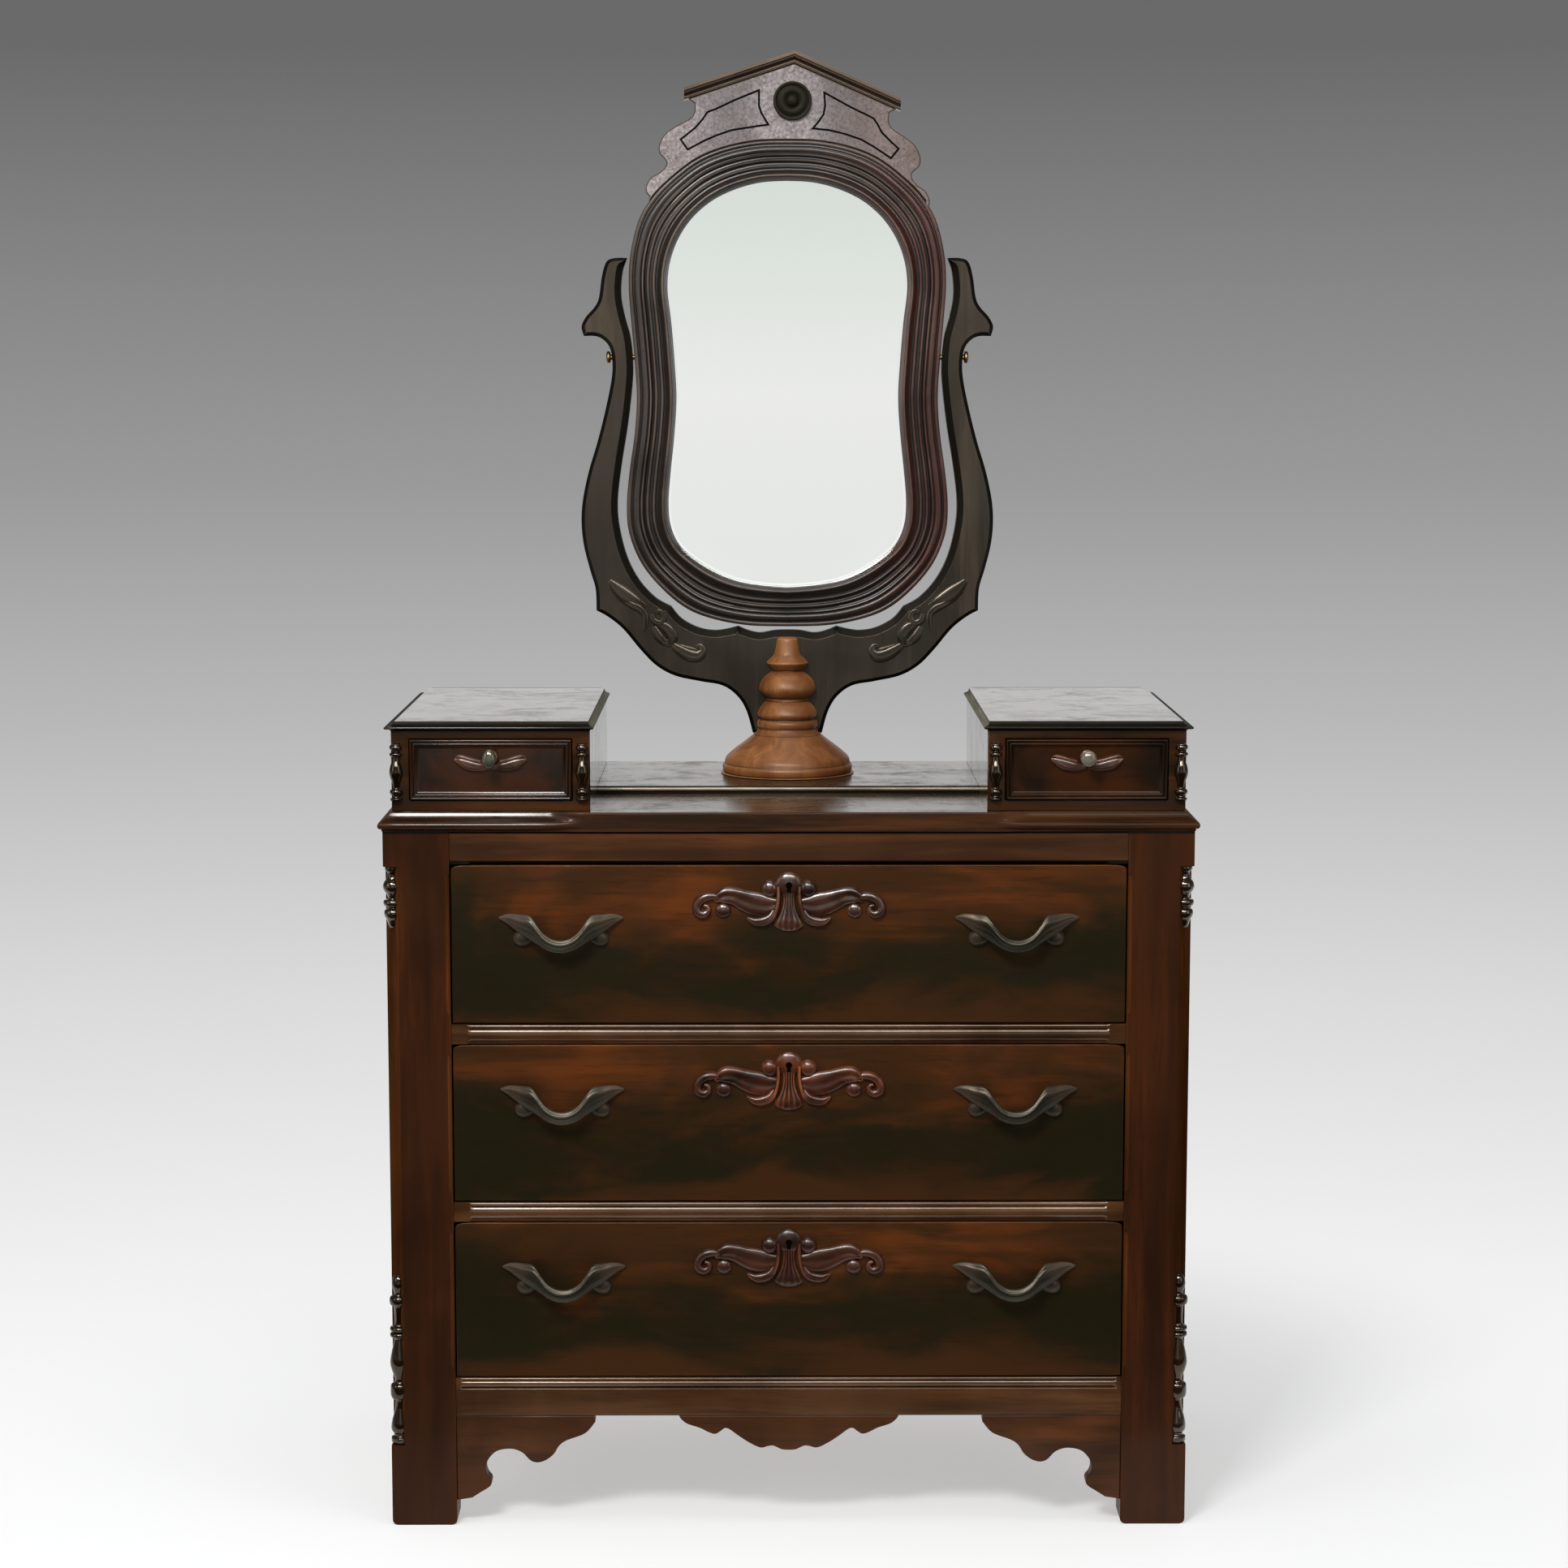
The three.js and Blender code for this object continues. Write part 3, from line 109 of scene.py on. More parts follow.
# Long drawers
DRAWERS = (1, 2, 3)
DRAWER_FACE = 2.7
PULL_PLACE = 283
PULL_DROPS = (67, 57, 57)
KEYHOLE_PLATE_DROP = 26

# Small boxes
BOX_MIDDLE = 369
BOX_FLOOR = 913.3
BOX_FRONT = 11
BOX_WIDTH = 246
BOX_HEIGHT = 100
BOX_BACK = 448
BOX_OPENING = 202
BOX_OPENING_HEIGHT = 77
BOX_TURNING_RADIUS = 8.4
BOX_TURNING_HEIGHT = 72
BOX_TOP_FLOOR = BOX_FLOOR + 100.3
BOX_TOP_REACH = 8
BOX_TOP_HEIGHT = 11
BOX_CORNER = 12
OPENING_LOW = BOX_FLOOR + 13
KNOB_SIZES = {"left": (17, 25), "right": (20, 20)}
KNOB_LENGTH = 24
LEAF_MIDDLE = OPENING_LOW + 46.5
KNOB_MIDDLE = OPENING_LOW + 54.5

# Mirror and its stand
STAND_Y = 325
STAND_FLOOR = 923.1
STAND_RADIUS = 86
STAND_HEIGHT = 180.5
HARP_FLOOR = 975.4
HARP_FRONT = 325.3
HARP_THICKNESS = 26
HARP_HALF = 272
HARP_HEIGHT = 625
PIVOT_Z = 1471.4
PIVOT_Y = 338.3
FRAME_BACK = 346.3
FRAME_FLOOR = 1117.4
FRAME_HALF = 212
FRAME_HEIGHT = 635
FRAME_DEPTH = 28
GLASS_FRONT = FRAME_BACK - 0.42 * FRAME_DEPTH + GAP
CREST_FRONT = 328.3
CREST_FLOOR = 1670.4
CREST_LEAN = math.radians(2.8)
CREST_THICKNESS = 16
CREST_HALF = 185
CREST_HEIGHT = 180
CREST_SHOULDER = 135
CORNICE_HALF = 141
CORNICE_RISE = 54
CORNICE_DEPTH = 28
CORNICE_THICKNESS = 15
ROSETTE_RADIUS = 25
ROSETTE_DEPTH = 8
ROSETTE_MIDDLE = 132
LINE_HALF = 1.3

# Stage: the camera's reach and its picture's width in one measure, its place and its turn, and the surroundings'
# greys at each height
CAMERA_REACH = 4100
CAMERA_WIDTH = 1932
CAMERA_PLACE = (-27, -4077, 1464)
CAMERA_TILT = math.radians(90 - 7.21)
CAMERA_TURN = -math.atan(21 / CAMERA_REACH)
SKY_GREYS = [(-0.343, 253), (-0.298, 250), (-0.2526, 238), (-0.1819, 217), (-0.1096, 186), (-0.0368, 154),
             (0.0915, 106), (0.3, 96)]
# Lamps: name, place, aim, width, height and watts; key from the left, fill, top, and cards for the reflections
LAMPS = [
    ("key", (-1000, -2500, 3300), (0, 150, 800), 1.0, 0.8, 92),
    ("strip", (0, -3000, 3000), (0, 0, 600), 3.2, 0.9, 150),
    ("side", (-2900, -1700, 1900), (0, 200, 800), 1.4, 1.8, 16),
    ("fill", (2700, -2200, 1800), (0, 200, 700), 1.6, 2.0, 18),
    ("over", (0, -200, 3700), (0, 200, 600), 2.2, 1.4, 26),
    ("front card", (0, -6400, 1450), (0, 0, 1450), 3.0, 2.4, 13.2),
    ("back card", (0, 3800, 1500), (0, 200, 1150), 3.6, 1.0, 10),
]


def thousandths(*values):
    """Points of (across, up), as shares of the sizes that they are drawn to."""
    return [(across / 1000, up / 1000) for across, up in zip(values[::2], values[1::2])]


# Profiles and outlines, as shares of the sizes that they are drawn to
UPPER_TURNING = thousandths(
    300, 0, 450, 40, 620, 120, 850, 180, 920, 240, 800, 290, 550, 310, 550, 335, 850, 350, 970, 385, 970, 420,
    850, 450, 500, 465, 500, 490, 620, 540, 900, 600, 1000, 660, 900, 730, 600, 790, 480, 850, 520, 900, 720, 915,
    780, 960, 720, 1000,
)
LOWER_TURNING = thousandths(
    800, 0, 950, 12, 970, 25, 950, 38, 720, 45, 700, 60, 900, 75, 980, 100, 850, 145, 550, 200, 480, 240, 520, 262,
    850, 270, 980, 290, 1000, 320, 920, 350, 550, 362, 520, 390, 750, 420, 980, 465, 970, 500, 800, 550, 580, 600,
    520, 622, 880, 632, 970, 644, 880, 656, 600, 662, 880, 668, 970, 680, 850, 692, 500, 700, 460, 740, 500, 790,
    560, 815, 880, 822, 980, 845, 880, 868, 520, 878, 500, 895, 660, 920, 720, 945, 550, 980, 200, 1000,
)
BOX_TURNING = thousandths(
    850, 0, 900, 40, 600, 60, 550, 90, 850, 110, 970, 150, 850, 190, 520, 210, 500, 250, 620, 320, 900, 410,
    1000, 500, 850, 600, 600, 680, 480, 745, 500, 755, 850, 770, 950, 800, 850, 830, 500, 845, 500, 870, 850, 885,
    950, 920, 850, 955, 700, 970, 700, 1000,
)
BRACKET = thousandths(
    1000, 0, 1000, -73, 926, -209, 795, -291, 739, -355, 699, -455, 642, -527, 580, -555, 528, -527, 472, -436,
    392, -391, 290, -418, 227, -518, 210, -618, 222, -700, 250, -764, 239, -836, 170, -909, 108, -973, 0, -1000,
)
PENDANT = thousandths(
    1000, 0, 978, -111, 921, -244, 813, -356, 727, -489, 669, -533, 619, -444, 583, -367, 540, -400, 453, -600,
    353, -800, 259, -933, 187, -889, 144, -878, 101, -933, 58, -989, 0, -1000,
)
STAND_FOOT = thousandths(
    0, 0, 955, 0, 985, 12, 1000, 35, 998, 60, 970, 78, 965, 90, 945, 120, 880, 150, 780, 190, 680, 225, 580, 262,
    530, 282, 520, 287,
)
STAND_STEM = thousandths(
    520, 289, 485, 300, 450, 327, 450, 332, 468, 345, 472, 360, 468, 378, 450, 390, 430, 398, 432, 406, 455, 420,
    462, 435, 450, 455, 420, 483, 370, 515, 330, 533, 325, 545, 330, 560, 390, 580, 430, 605, 437, 625, 430, 645,
    400, 680, 340, 715, 260, 742, 235, 752, 235, 762, 285, 788, 318, 808, 310, 822, 250, 850, 210, 870, 190, 905,
    175, 940, 165, 970, 150, 990, 100, 999, 0, 1000,
)
HARP_TIP = thousandths(
    772, 1000, 831, 1000, 871, 992, 893, 962, 908, 918, 930, 898, 971, 878, 993, 858, 982, 838,
)
HARP_ARM = thousandths(
    982, 838, 930, 838, 893, 832, 860, 816, 846, 790, 849, 750, 879, 686, 919, 618, 963, 555, 993, 494, 1000, 446,
    989, 398, 960, 347, 934, 307, 930, 261,
)
HARP_FOOT = thousandths(
    930, 261, 875, 248, 801, 222, 717, 178, 640, 144, 548, 122, 423, 110, 316, 101, 243, 78, 199, 46, 169, 0,
)
HARP_INNER = [
    thousandths(
        0, 219, 62, 218, 132, 213, 191, 218, 239, 227,
    ),
    thousandths(
        239, 227, 294, 221, 357, 218, 434, 224, 515, 243, 566, 269,
    ),
    thousandths(
        566, 269, 643, 288, 721, 325, 779, 374, 816, 438, 824, 494, 805, 566, 772, 654, 750, 734, 746, 782, 757, 835,
        783, 878, 801, 923, 794, 970, 772, 1000,
    ),
]
FRAME_OUTER = thousandths(
    0, 1000, 189, 998, 387, 985, 557, 962, 712, 924, 830, 885, 915, 839, 967, 773, 981, 707, 967, 635, 948, 559,
    934, 477, 948, 402, 981, 324, 1000, 254, 986, 194, 910, 131, 778, 77, 623, 36, 448, 14, 236, 2, 0, 0,
)
FRAME_OPENING = thousandths(
    0, 918, 156, 915, 311, 902, 458, 879, 575, 847, 656, 811, 708, 773, 736, 734, 741, 691, 719, 628, 700, 548,
    689, 474, 703, 398, 726, 324, 741, 260, 729, 211, 675, 170, 571, 139, 443, 113, 311, 96, 156, 87, 0, 83,
)
# The mirror frame's reeds: share of the way in from the outer edge, and share of the depth forwards
FRAME_SECTION = thousandths(
    0, 0, 0, 500, 0, 580, 12, 630, 35, 660, 65, 665, 90, 645, 103, 600, 112, 575, 140, 580, 152, 630, 175, 690,
    210, 725, 250, 730, 285, 700, 302, 655, 310, 630, 325, 640, 335, 690, 352, 725, 372, 720, 386, 690, 394, 610,
    420, 585, 448, 600, 456, 710, 474, 780, 498, 810, 522, 790, 538, 740, 545, 665, 575, 650, 605, 670, 612, 770,
    632, 830, 655, 850, 678, 830, 695, 770, 705, 720, 730, 720, 755, 745, 790, 810, 820, 890, 842, 965, 860, 995,
    882, 1000, 905, 975, 925, 920, 935, 850, 950, 820, 965, 760, 985, 660, 1000, 560, 1000, 420, 840, 420, 840, 0,
)
CREST_SIDE = thousandths(
    973, 0, 1000, 33, 1000, 83, 968, 139, 919, 172, 881, 208, 865, 247, 886, 283, 916, 311, 924, 359, 908, 414,
    870, 469, 805, 517, 735, 558, 700, 586, 684, 628, 686, 683,
)
CORNICE = thousandths(
    0, 0, 600, 0, 660, 50, 660, 100, 700, 160, 700, 240, 670, 320, 680, 400, 730, 480, 810, 540, 900, 580, 900, 640,
    970, 680, 1000, 760, 1000, 920, 970, 1000, 0, 1000,
)
ROSETTE = thousandths(
    1000, 0, 1000, 450, 980, 620, 930, 720, 880, 680, 840, 500, 800, 480, 740, 560, 640, 660, 520, 660, 420, 560,
    360, 440, 330, 440, 310, 620, 270, 800, 200, 940, 100, 1000, 0, 1000,
)
KNOB = thousandths(
    0, 0, 500, 0, 420, 100, 360, 220, 360, 340, 420, 420, 600, 450, 720, 500, 920, 600, 1000, 700, 950, 820, 800, 920,
    500, 985, 200, 1000, 0, 1000,
)
# The tops' moulded edge: share of the reach outwards, and share of the height
EDGE = thousandths(
    100, 0, 120, 50, 200, 100, 200, 130, 620, 150, 860, 200, 980, 270, 1000, 330, 960, 400, 800, 460, 500, 490,
    200, 500, 200, 530, -50, 560, -400, 600, -800, 650, -1140, 700, -1360, 750, -1470, 800, -1530, 840, -1600, 880,
    -1720, 930, -1850, 970, -2000, 1000,
)
# The pivot screws, as (radius, distance from the middle)
SCREW = [
    (0, 186), (3.5, 186), (3.5, 232.2), (5, 232.5), (7.4, 233.2), (8, 234.4), (8, 236), (7.2, 237.4), (5, 238),
    (0, 238.2),
]

# Carved strokes, as (across, up, half width, share of the rise); each of the keyhole plate's with its vein's depth
KEYHOLE_LEAVES = [
    ([(14, -24, 7, 0.45), (28, -26, 13.5, 0.66), (41, -24, 15, 0.7), (54, -20, 13.5, 0.76), (67, -14.6, 11.6, 0.9),
      (78, -13, 11, 1), (87, -16, 7.6, 0.95), (91.5, -20.5, 2.4, 0.5)], 0.26),
    ([(86, -16, 3, 0.7), (93, -14, 4.8, 0.8), (101, -14.6, 5.6, 0.85), (109.5, -18.6, 5.8, 0.85),
      (114.4, -26.5, 5.6, 0.9), (113, -34, 6, 0.95), (106, -36.6, 5.6, 0.9), (100.5, -32.5, 4.2, 0.8),
      (101, -27, 3.4, 0.75), (105.5, -25.4, 2.6, 0.7)], 0),
    ([(18, -32, 3.4, 0.5), (23, -41, 6, 0.85), (31, -45.5, 6.6, 0.9), (41, -46.4, 5.8, 0.9), (48, -43.5, 3.6, 0.7),
      (52, -41, 1.4, 0.4)], 0.12),
    ([(13.5, -2, 2.6, 0.8), (13, -14, 3, 0.9), (14.4, -26, 3, 0.9), (17, -36, 2.6, 0.8), (20, -44, 2, 0.5)], 0),
]
KEYHOLE_DROP = [
    (0, -8, 9, 0.6), (0, -15, 8, 0.62), (0, -22, 8, 0.66), (0, -30, 9.6, 0.72), (0, -38, 13, 0.8),
    (0, -46, 17, 0.85), (0, -52, 17.6, 0.75), (0, -56.5, 11, 0.5), (0, -58.5, 3, 0.2),
]
HARP_LEAVES = [
    [(236, 1178, 3, 0.4), (224, 1166, 7, 0.7), (211, 1156, 8, 0.9), (198, 1149, 6, 0.9), (187, 1145, 2, 0.5)],
    [(218, 1154, 2, 0.7), (206.5, 1147, 3.6, 1), (197, 1142.5, 4, 1), (189.5, 1135.5, 3.6, 0.9),
     (187.3, 1125, 3, 0.8), (189.5, 1112, 1.4, 0.5)],
    [(180, 1134, 3, 0.8), (176.5, 1125.5, 3.4, 0.9), (168, 1122.5, 3.4, 0.9), (163, 1130.4, 3, 0.8),
     (168, 1138, 2.6, 0.8), (174, 1136, 2, 0.7)],
    [(172, 1122, 3, 0.6), (161, 1116, 6, 0.9), (153, 1105.5, 6.5, 1), (155, 1096, 4, 0.9), (162, 1093, 1.5, 0.6)],
    [(177, 1117, 3, 0.5), (170.5, 1105, 5, 0.85), (161.5, 1096, 4, 0.8)],
    [(153, 1094, 3, 0.6), (142, 1086, 5.6, 0.9), (129.5, 1079.5, 6.6, 1), (118.6, 1078.6, 6, 1),
     (112, 1085.5, 4, 0.9), (115, 1092, 2.6, 0.8), (120.7, 1091, 1.6, 0.6)],
    [(142, 1092, 2, 0.6), (130, 1088, 2.8, 0.85), (121, 1086, 2, 0.7)],
]
# The crest's two sunk panels, as (across, up)
CREST_PANELS = [
    [(-37, 1816), (-37, 1796), (-34, 1787), (-25, 1772), (-46, 1769), (-72, 1765), (-93, 1758), (-109, 1751),
     (-130, 1740), (-139, 1753), (-120, 1768), (-111, 1778), (-104, 1788), (-93, 1792), (-67, 1804)],
    [(48, 1813), (49, 1796), (47, 1785), (40, 1775), (33, 1767), (54, 1765), (75, 1760), (96, 1753), (112, 1744),
     (135, 1729), (145, 1741), (133, 1752), (123, 1762), (117, 1773), (112, 1780), (102, 1785), (81, 1795)],
]


def at(x, y, z):
    """The place in metres of a point in millimetres from the case front."""
    return Vector((x * MM, CASE_BACK + (y - CASE_DEPTH) * MM, z * MM))


def solid_box(node):
    """The lowest and highest corner of a solid of the frame, in the same millimetres."""
    return [(x / MM, (y - CASE_BACK) / MM + CASE_DEPTH, z / MM) for x, y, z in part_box(node)]


def opening_floor(number):
    return LOWEST_OPENING + (3 - number) * OPENING_PITCH


# ---- Materials


def worked(operation, swapped=False):
    """An operator of a wire, which adds a Math node for itself and another value."""

    def work(wire, *others):
        values = (*others, wire) if swapped else (wire, *others)
        return wire.nodes.node("ShaderNodeMath", {"operation": operation}, dict(enumerate(values)))

    return work


class Wire:
    """A socket's value, which sums and products can be written with."""

    def __init__(self, nodes, socket):
        self.nodes = nodes
        self.socket = socket

    __add__ = __radd__ = worked("ADD")
    __sub__ = worked("SUBTRACT")
    __rsub__ = worked("SUBTRACT", swapped=True)
    __mul__ = __rmul__ = worked("MULTIPLY")
    __mod__ = worked("MODULO")
    __pow__ = worked("POWER")
    __abs__ = worked("ABSOLUTE")
    highest = worked("MAXIMUM")

    def clear(self, low, high):
        """0 below low and 1 above high, with a soft step between."""
        return self.nodes.node("ShaderNodeMapRange", {"interpolation_type": "SMOOTHSTEP"},
                               dict(enumerate((self, low, high, 0.0, 1.0))))


def rgba(colour):
    """The linear colour of a screen's one of three numbers from 0 to 255; one of four is linear already."""
    if len(colour) == 4:
        return colour
    shares = [value / 255 for value in colour]
    return (*[share / 12.92 if share <= 0.04045 else ((share + 0.055) / 1.055) ** 2.4 for share in shares], 1.0)


class Nodes:
    """The node tree of a material or of the surroundings."""

    def __init__(self, tree):
        self.tree = tree

    def plug(self, value, port):
        if isinstance(value, Wire):
            self.tree.links.new(value.socket, port)
        else:
            port.default_value = rgba(value) if port.type == "RGBA" else value

    def node(self, kind, settings=None, inputs=None, output=0):
        """Adds a node, with its settings and then its sockets' values or links, and gives one of its outputs."""
        node = self.tree.nodes.new(kind)
        for key, value in (settings or {}).items():
            if key == "stops":
                elements = node.color_ramp.elements
                for place, colour in value[1:-1]:
                    elements.new(place)
                for element, (place, colour) in zip(elements, value):
                    element.position = place
                    element.color = rgba(colour)
            else:
                setattr(node, key, value)
        for key, value in (inputs or {}).items():
            self.plug(value, node.inputs[key])
        return None if output is None else Wire(self, node.outputs[output])

    def seen(self):
        """1 for what the camera sees, straight or through gloss and glass, and 0 for light."""
        kinds = ("Is Camera Ray", "Is Glossy Ray", "Is Transmission Ray")
        camera, gloss, glass = (self.node("ShaderNodeLightPath", output=kind) for kind in kinds)
        return camera.highest(gloss).highest(glass)

    def place(self, kind="Object"):
        return self.node("ShaderNodeTexCoord", output=kind)

    def parts(self, place):
        return [self.node("ShaderNodeSeparateXYZ", inputs={0: place}, output=axis) for axis in "XYZ"]

    def blend(self, share, low, high):
        return self.node("ShaderNodeMixShader", inputs={0: share, 1: low, 2: high})


class Finish(Nodes):
    """A material that is being mixed: its nodes, and the constants of its surface."""

    def __init__(self, name, **constants):
        self.material = bpy.data.materials.new(name)
        self.material.use_nodes = True
        super().__init__(self.material.node_tree)
        self.surface = self.tree.nodes["Principled BSDF"]
        self.set(**constants)

    def set(self, **values):
        """Sets or links sockets of the surface; an underscore in a name stands for a space."""
        for key, value in values.items():
            self.plug(value, self.surface.inputs[key.replace("_", " ")])
        return self

    def stretched(self, place, *scale):
        return self.node("ShaderNodeMapping", inputs={0: place, 3: scale})

    def noise(self, place, scale, detail, roughness, warp=0.0):
        return self.node("ShaderNodeTexNoise", inputs={
            "Vector": place, "Scale": scale, "Detail": detail, "Roughness": roughness, "Distortion": warp,
        })

    def mixed(self, low, high, share):
        return self.node("ShaderNodeMix", {"data_type": "RGBA"}, {0: share, 6: low, 7: high}, 2)

    def bumped(self, height, strength, distance):
        return self.node("ShaderNodeBump", inputs={"Strength": strength, "Distance": distance, "Height": height})

    def shade_and_sheen_with_wear(self, colour, hollow, ridge, patches):
        """Painted shade, with some grime, in the hollows, and ridges lightened as painted highlight and rubbing, from
        the piece's bulging attribute.
        """
        wear = self.node("ShaderNodeAttribute", {"attribute_name": "wear"}, output="Fac")
        # Painted shade: the hollows darkened nearly to black
        colour = self.mixed(colour, hollow, (1 - wear.clear(0.08, 0.47)) * 0.9)
        # Painted highlight, partly rubbing: the ridges lightened
        return self.mixed(colour, ridge, wear.clear(0.6, 1.0) * (patches * 0.75 + 0.1))

    def faded(self, share, surface=None):
        """Lets the surface turn clear by a share."""
        surface = surface or Wire(self, self.surface.outputs[0])
        clear = self.node("ShaderNodeBsdfTransparent")
        self.plug(self.blend(share, surface, clear), self.tree.nodes["Material Output"].inputs[0])


WARM = (255, 232, 206)
GRAIN = {"X": (1.0, 15.0, 15.0), "Y": (15.0, 1.0, 15.0), "Z": (15.0, 15.0, 1.0)}


def polished(name, dark, middle, light, grain, gloss=0.3, coat=0.15, shine=0.22, rub=0.4, ridge=None, bump=0.12,
             tips=None, patch=5.0, tint=WARM):
    """Old polished wood: streaks along the grain, darker patches of polish and lighter ones where handling thinned
    it; with a ridge colour, painted shade in the hollows and painted highlights on the ridges.
    """
    finish = Finish(name, Specular_IOR_Level=shine, Specular_Tint=tint, Coat_Roughness=0.12)
    place = finish.place()
    grained = finish.stretched(place, *GRAIN[grain])
    streaks = finish.noise(grained, 2.6, 4.0, 0.6, 0.5)
    lines = finish.noise(grained, 17.0, 3.0, 0.6, 0.2)
    patches = finish.noise(place, patch, 3.0, 0.55, 0.6)
    worn = finish.noise(place, 2.2, 2.0, 0.5, 0.8)
    colour = finish.mixed(dark, middle, (streaks * 0.65 + patches * 0.5 - 0.08).clear(0.28, 0.72))
    colour = finish.mixed(colour, light, (worn * 0.6 + streaks * 0.4).clear(0.5, 0.72) * rub)
    colour = finish.mixed(colour, dark, lines.clear(0.56, 0.72) * 0.45)
    # Painted shade darkens the hollows and a painted highlight, partly rubbing, lightens the ridges.
    if ridge:
        colour = finish.shade_and_sheen_with_wear(colour, [value * 0.45 for value in dark], ridge, patches.clear(0.3, 0.7))
    if tips:
        reach = abs(abs(finish.parts(place)[0]) - PULL_PLACE * MM)
        colour = finish.mixed(colour, tips, reach.clear(0.036, 0.06) * 0.6)
    return finish.set(
        Base_Color=colour,
        Roughness=patches * 0.22 + lines * 0.1 + (gloss - 0.14),
        Coat_Weight=patches.clear(0.3, 0.7) * coat,
        Normal=finish.bumped(lines * 0.6 + streaks, bump, 0.0006),
    )


def nose_polish(name, dark, light):
    """Mouldings of the tops: still bright on the left, dulled by handling everywhere else."""
    finish = Finish(name, Specular_IOR_Level=0.12, Specular_Tint=WARM, Coat_Roughness=0.14)
    place = finish.place()
    streaks = finish.noise(finish.stretched(place, *GRAIN["X"]), 4.0, 4.0, 0.6, 0.5)
    across = finish.parts(place)[0]
    dull = across.clear(-0.34, -0.25).highest(1 - across.clear(-0.5, -0.48))
    return finish.set(
        Base_Color=finish.mixed(dark, light, streaks.clear(0.35, 0.7) * (dull * 0.5 + 0.5)),
        Roughness=dull * 0.3 + streaks * 0.1 + 0.2,
        Coat_Weight=0.75 - dull * 0.72,
    )


def box_polish():
    """The small drawers' fronts: orange brown in the middle and smoky at both ends."""
    finish = Finish("small box fronts", Specular_IOR_Level=0.1, Specular_Tint=WARM, Coat_Roughness=0.15)
    place = finish.place()
    across = finish.parts(place)[0]
    clouds = finish.noise(place, 16.0, 4.0, 0.6, 0.8)
    streaks = finish.noise(finish.stretched(place, 1.0, 6.0, 6.0), 9.0, 4.0, 0.6, 0.5)
    ends = abs(abs(across) - BOX_MIDDLE * MM).clear(0.02, 0.1)
    smoke = (ends * 0.55 + clouds * 1.4 + streaks * 0.5 - 0.8).clear(-0.1, 0.9)
    colour = finish.mixed((58, 28, 9), (20, 13, 7), smoke)
    dull = across.clear(-0.3, 0.3)
    return finish.set(
        Base_Color=finish.mixed(colour, (26, 14, 6), streaks.clear(0.56, 0.7) * 0.35),
        Roughness=clouds * 0.1 + dull * 0.14 + 0.14,
        Coat_Weight=0.5 - dull * 0.46,
        Normal=finish.bumped(streaks, 0.05, 0.0005),
    )


def drawer_polish():
    """The long drawers' fronts: brown above and along the foot, with smoky, nearly black clouds between; the brown
    upper part and the darker band and ends are partly painted light and shade, partly the finish's own tone.
    """
    finish = Finish("drawer fronts", Specular_IOR_Level=0.16, Specular_Tint=WARM, Coat_Roughness=0.2)
    place = finish.place()
    across, along, up = finish.parts(place)
    grained = finish.stretched(place, *GRAIN["X"])
    streaks = finish.noise(grained, 3.0, 4.0, 0.6, 0.7)
    lines = finish.noise(grained, 18.0, 3.0, 0.6, 0.2)
    drift = finish.noise(finish.stretched(place, 1.0, 1.0, 2.2), 3.0, 3.0, 0.55, 1.2)
    smoke = finish.noise(finish.stretched(place, 1.0, 1.0, 2.6), 9.0, 5.0, 0.65, 0.6)
    level = (up - LOWEST_OPENING * MM) % (OPENING_PITCH * MM) + (drift - 0.5) * 0.2
    # Painted shade, partly the finish's own tone: a darker band across each drawer's lower middle, and darker ends
    band = level.clear(-0.01, 0.06) * (1 - level.clear(0.08, 0.19))
    ends = abs(across + (drift - 0.5) * 0.3).clear(0.24, 0.44)
    dark = (band * 0.8 + ends * 0.4 + (smoke - 0.5) * 1.3 + (drift - 0.5) * 0.5).clear(-0.05, 0.95)
    # Painted light, partly the finish's own tone: orange brown growing towards each drawer's top
    glow = (drift * 0.5 + streaks * 0.3 + smoke * 0.2).clear(0.45, 0.65) * (1 - dark) * level.clear(0.0, 0.12)
    colour = finish.mixed(finish.mixed((60, 34, 14), (29, 24, 9), dark), (120, 58, 14), glow * 0.65)
    return finish.set(
        Base_Color=finish.mixed(colour, (24, 15, 6), lines.clear(0.54, 0.72) * 0.4),
        Roughness=smoke * 0.2 + lines * 0.1 + 0.2,
        Coat_Weight=smoke.clear(0.35, 0.7) * 0.12,
        Normal=finish.bumped(lines * 0.6 + streaks, 0.12, 0.0006),
    )


def top_polish(name, grain, shine, coat, stain):
    """Flat tops: dark wood under a bright gloss with dull, darker stains."""
    finish = Finish(name, Specular_IOR_Level=shine, Specular_Tint=(250, 248, 228), Coat_Roughness=0.1)
    place = finish.place()
    grained = finish.stretched(place, *GRAIN[grain])
    streaks = finish.noise(grained, 3.0, 4.0, 0.6, 0.5)
    lines = finish.noise(grained, 20.0, 3.0, 0.6, 0.2)
    stains = finish.noise(finish.stretched(place, 1.0, 1.4, 1.0), 11.0, 5.0, 0.66, 0.8)
    specks = finish.noise(place, 70.0, 3.0, 0.6, 0.4)
    dull = (stains * 0.7 + specks * 0.3).clear(0.44, 0.72)
    colour = finish.mixed((42, 31, 20), (70, 54, 36), streaks.clear(0.35, 0.65))
    return finish.set(
        Base_Color=finish.mixed(colour, (22, 16, 10), (lines.clear(0.54, 0.7) * 0.5).highest(dull * 0.6)),
        Roughness=dull * stain + lines * 0.03 + 0.2,
        Coat_Weight=(1 - dull * 0.5) * coat,
        Normal=finish.bumped(lines + specks, 0.012, 0.0004),
    )


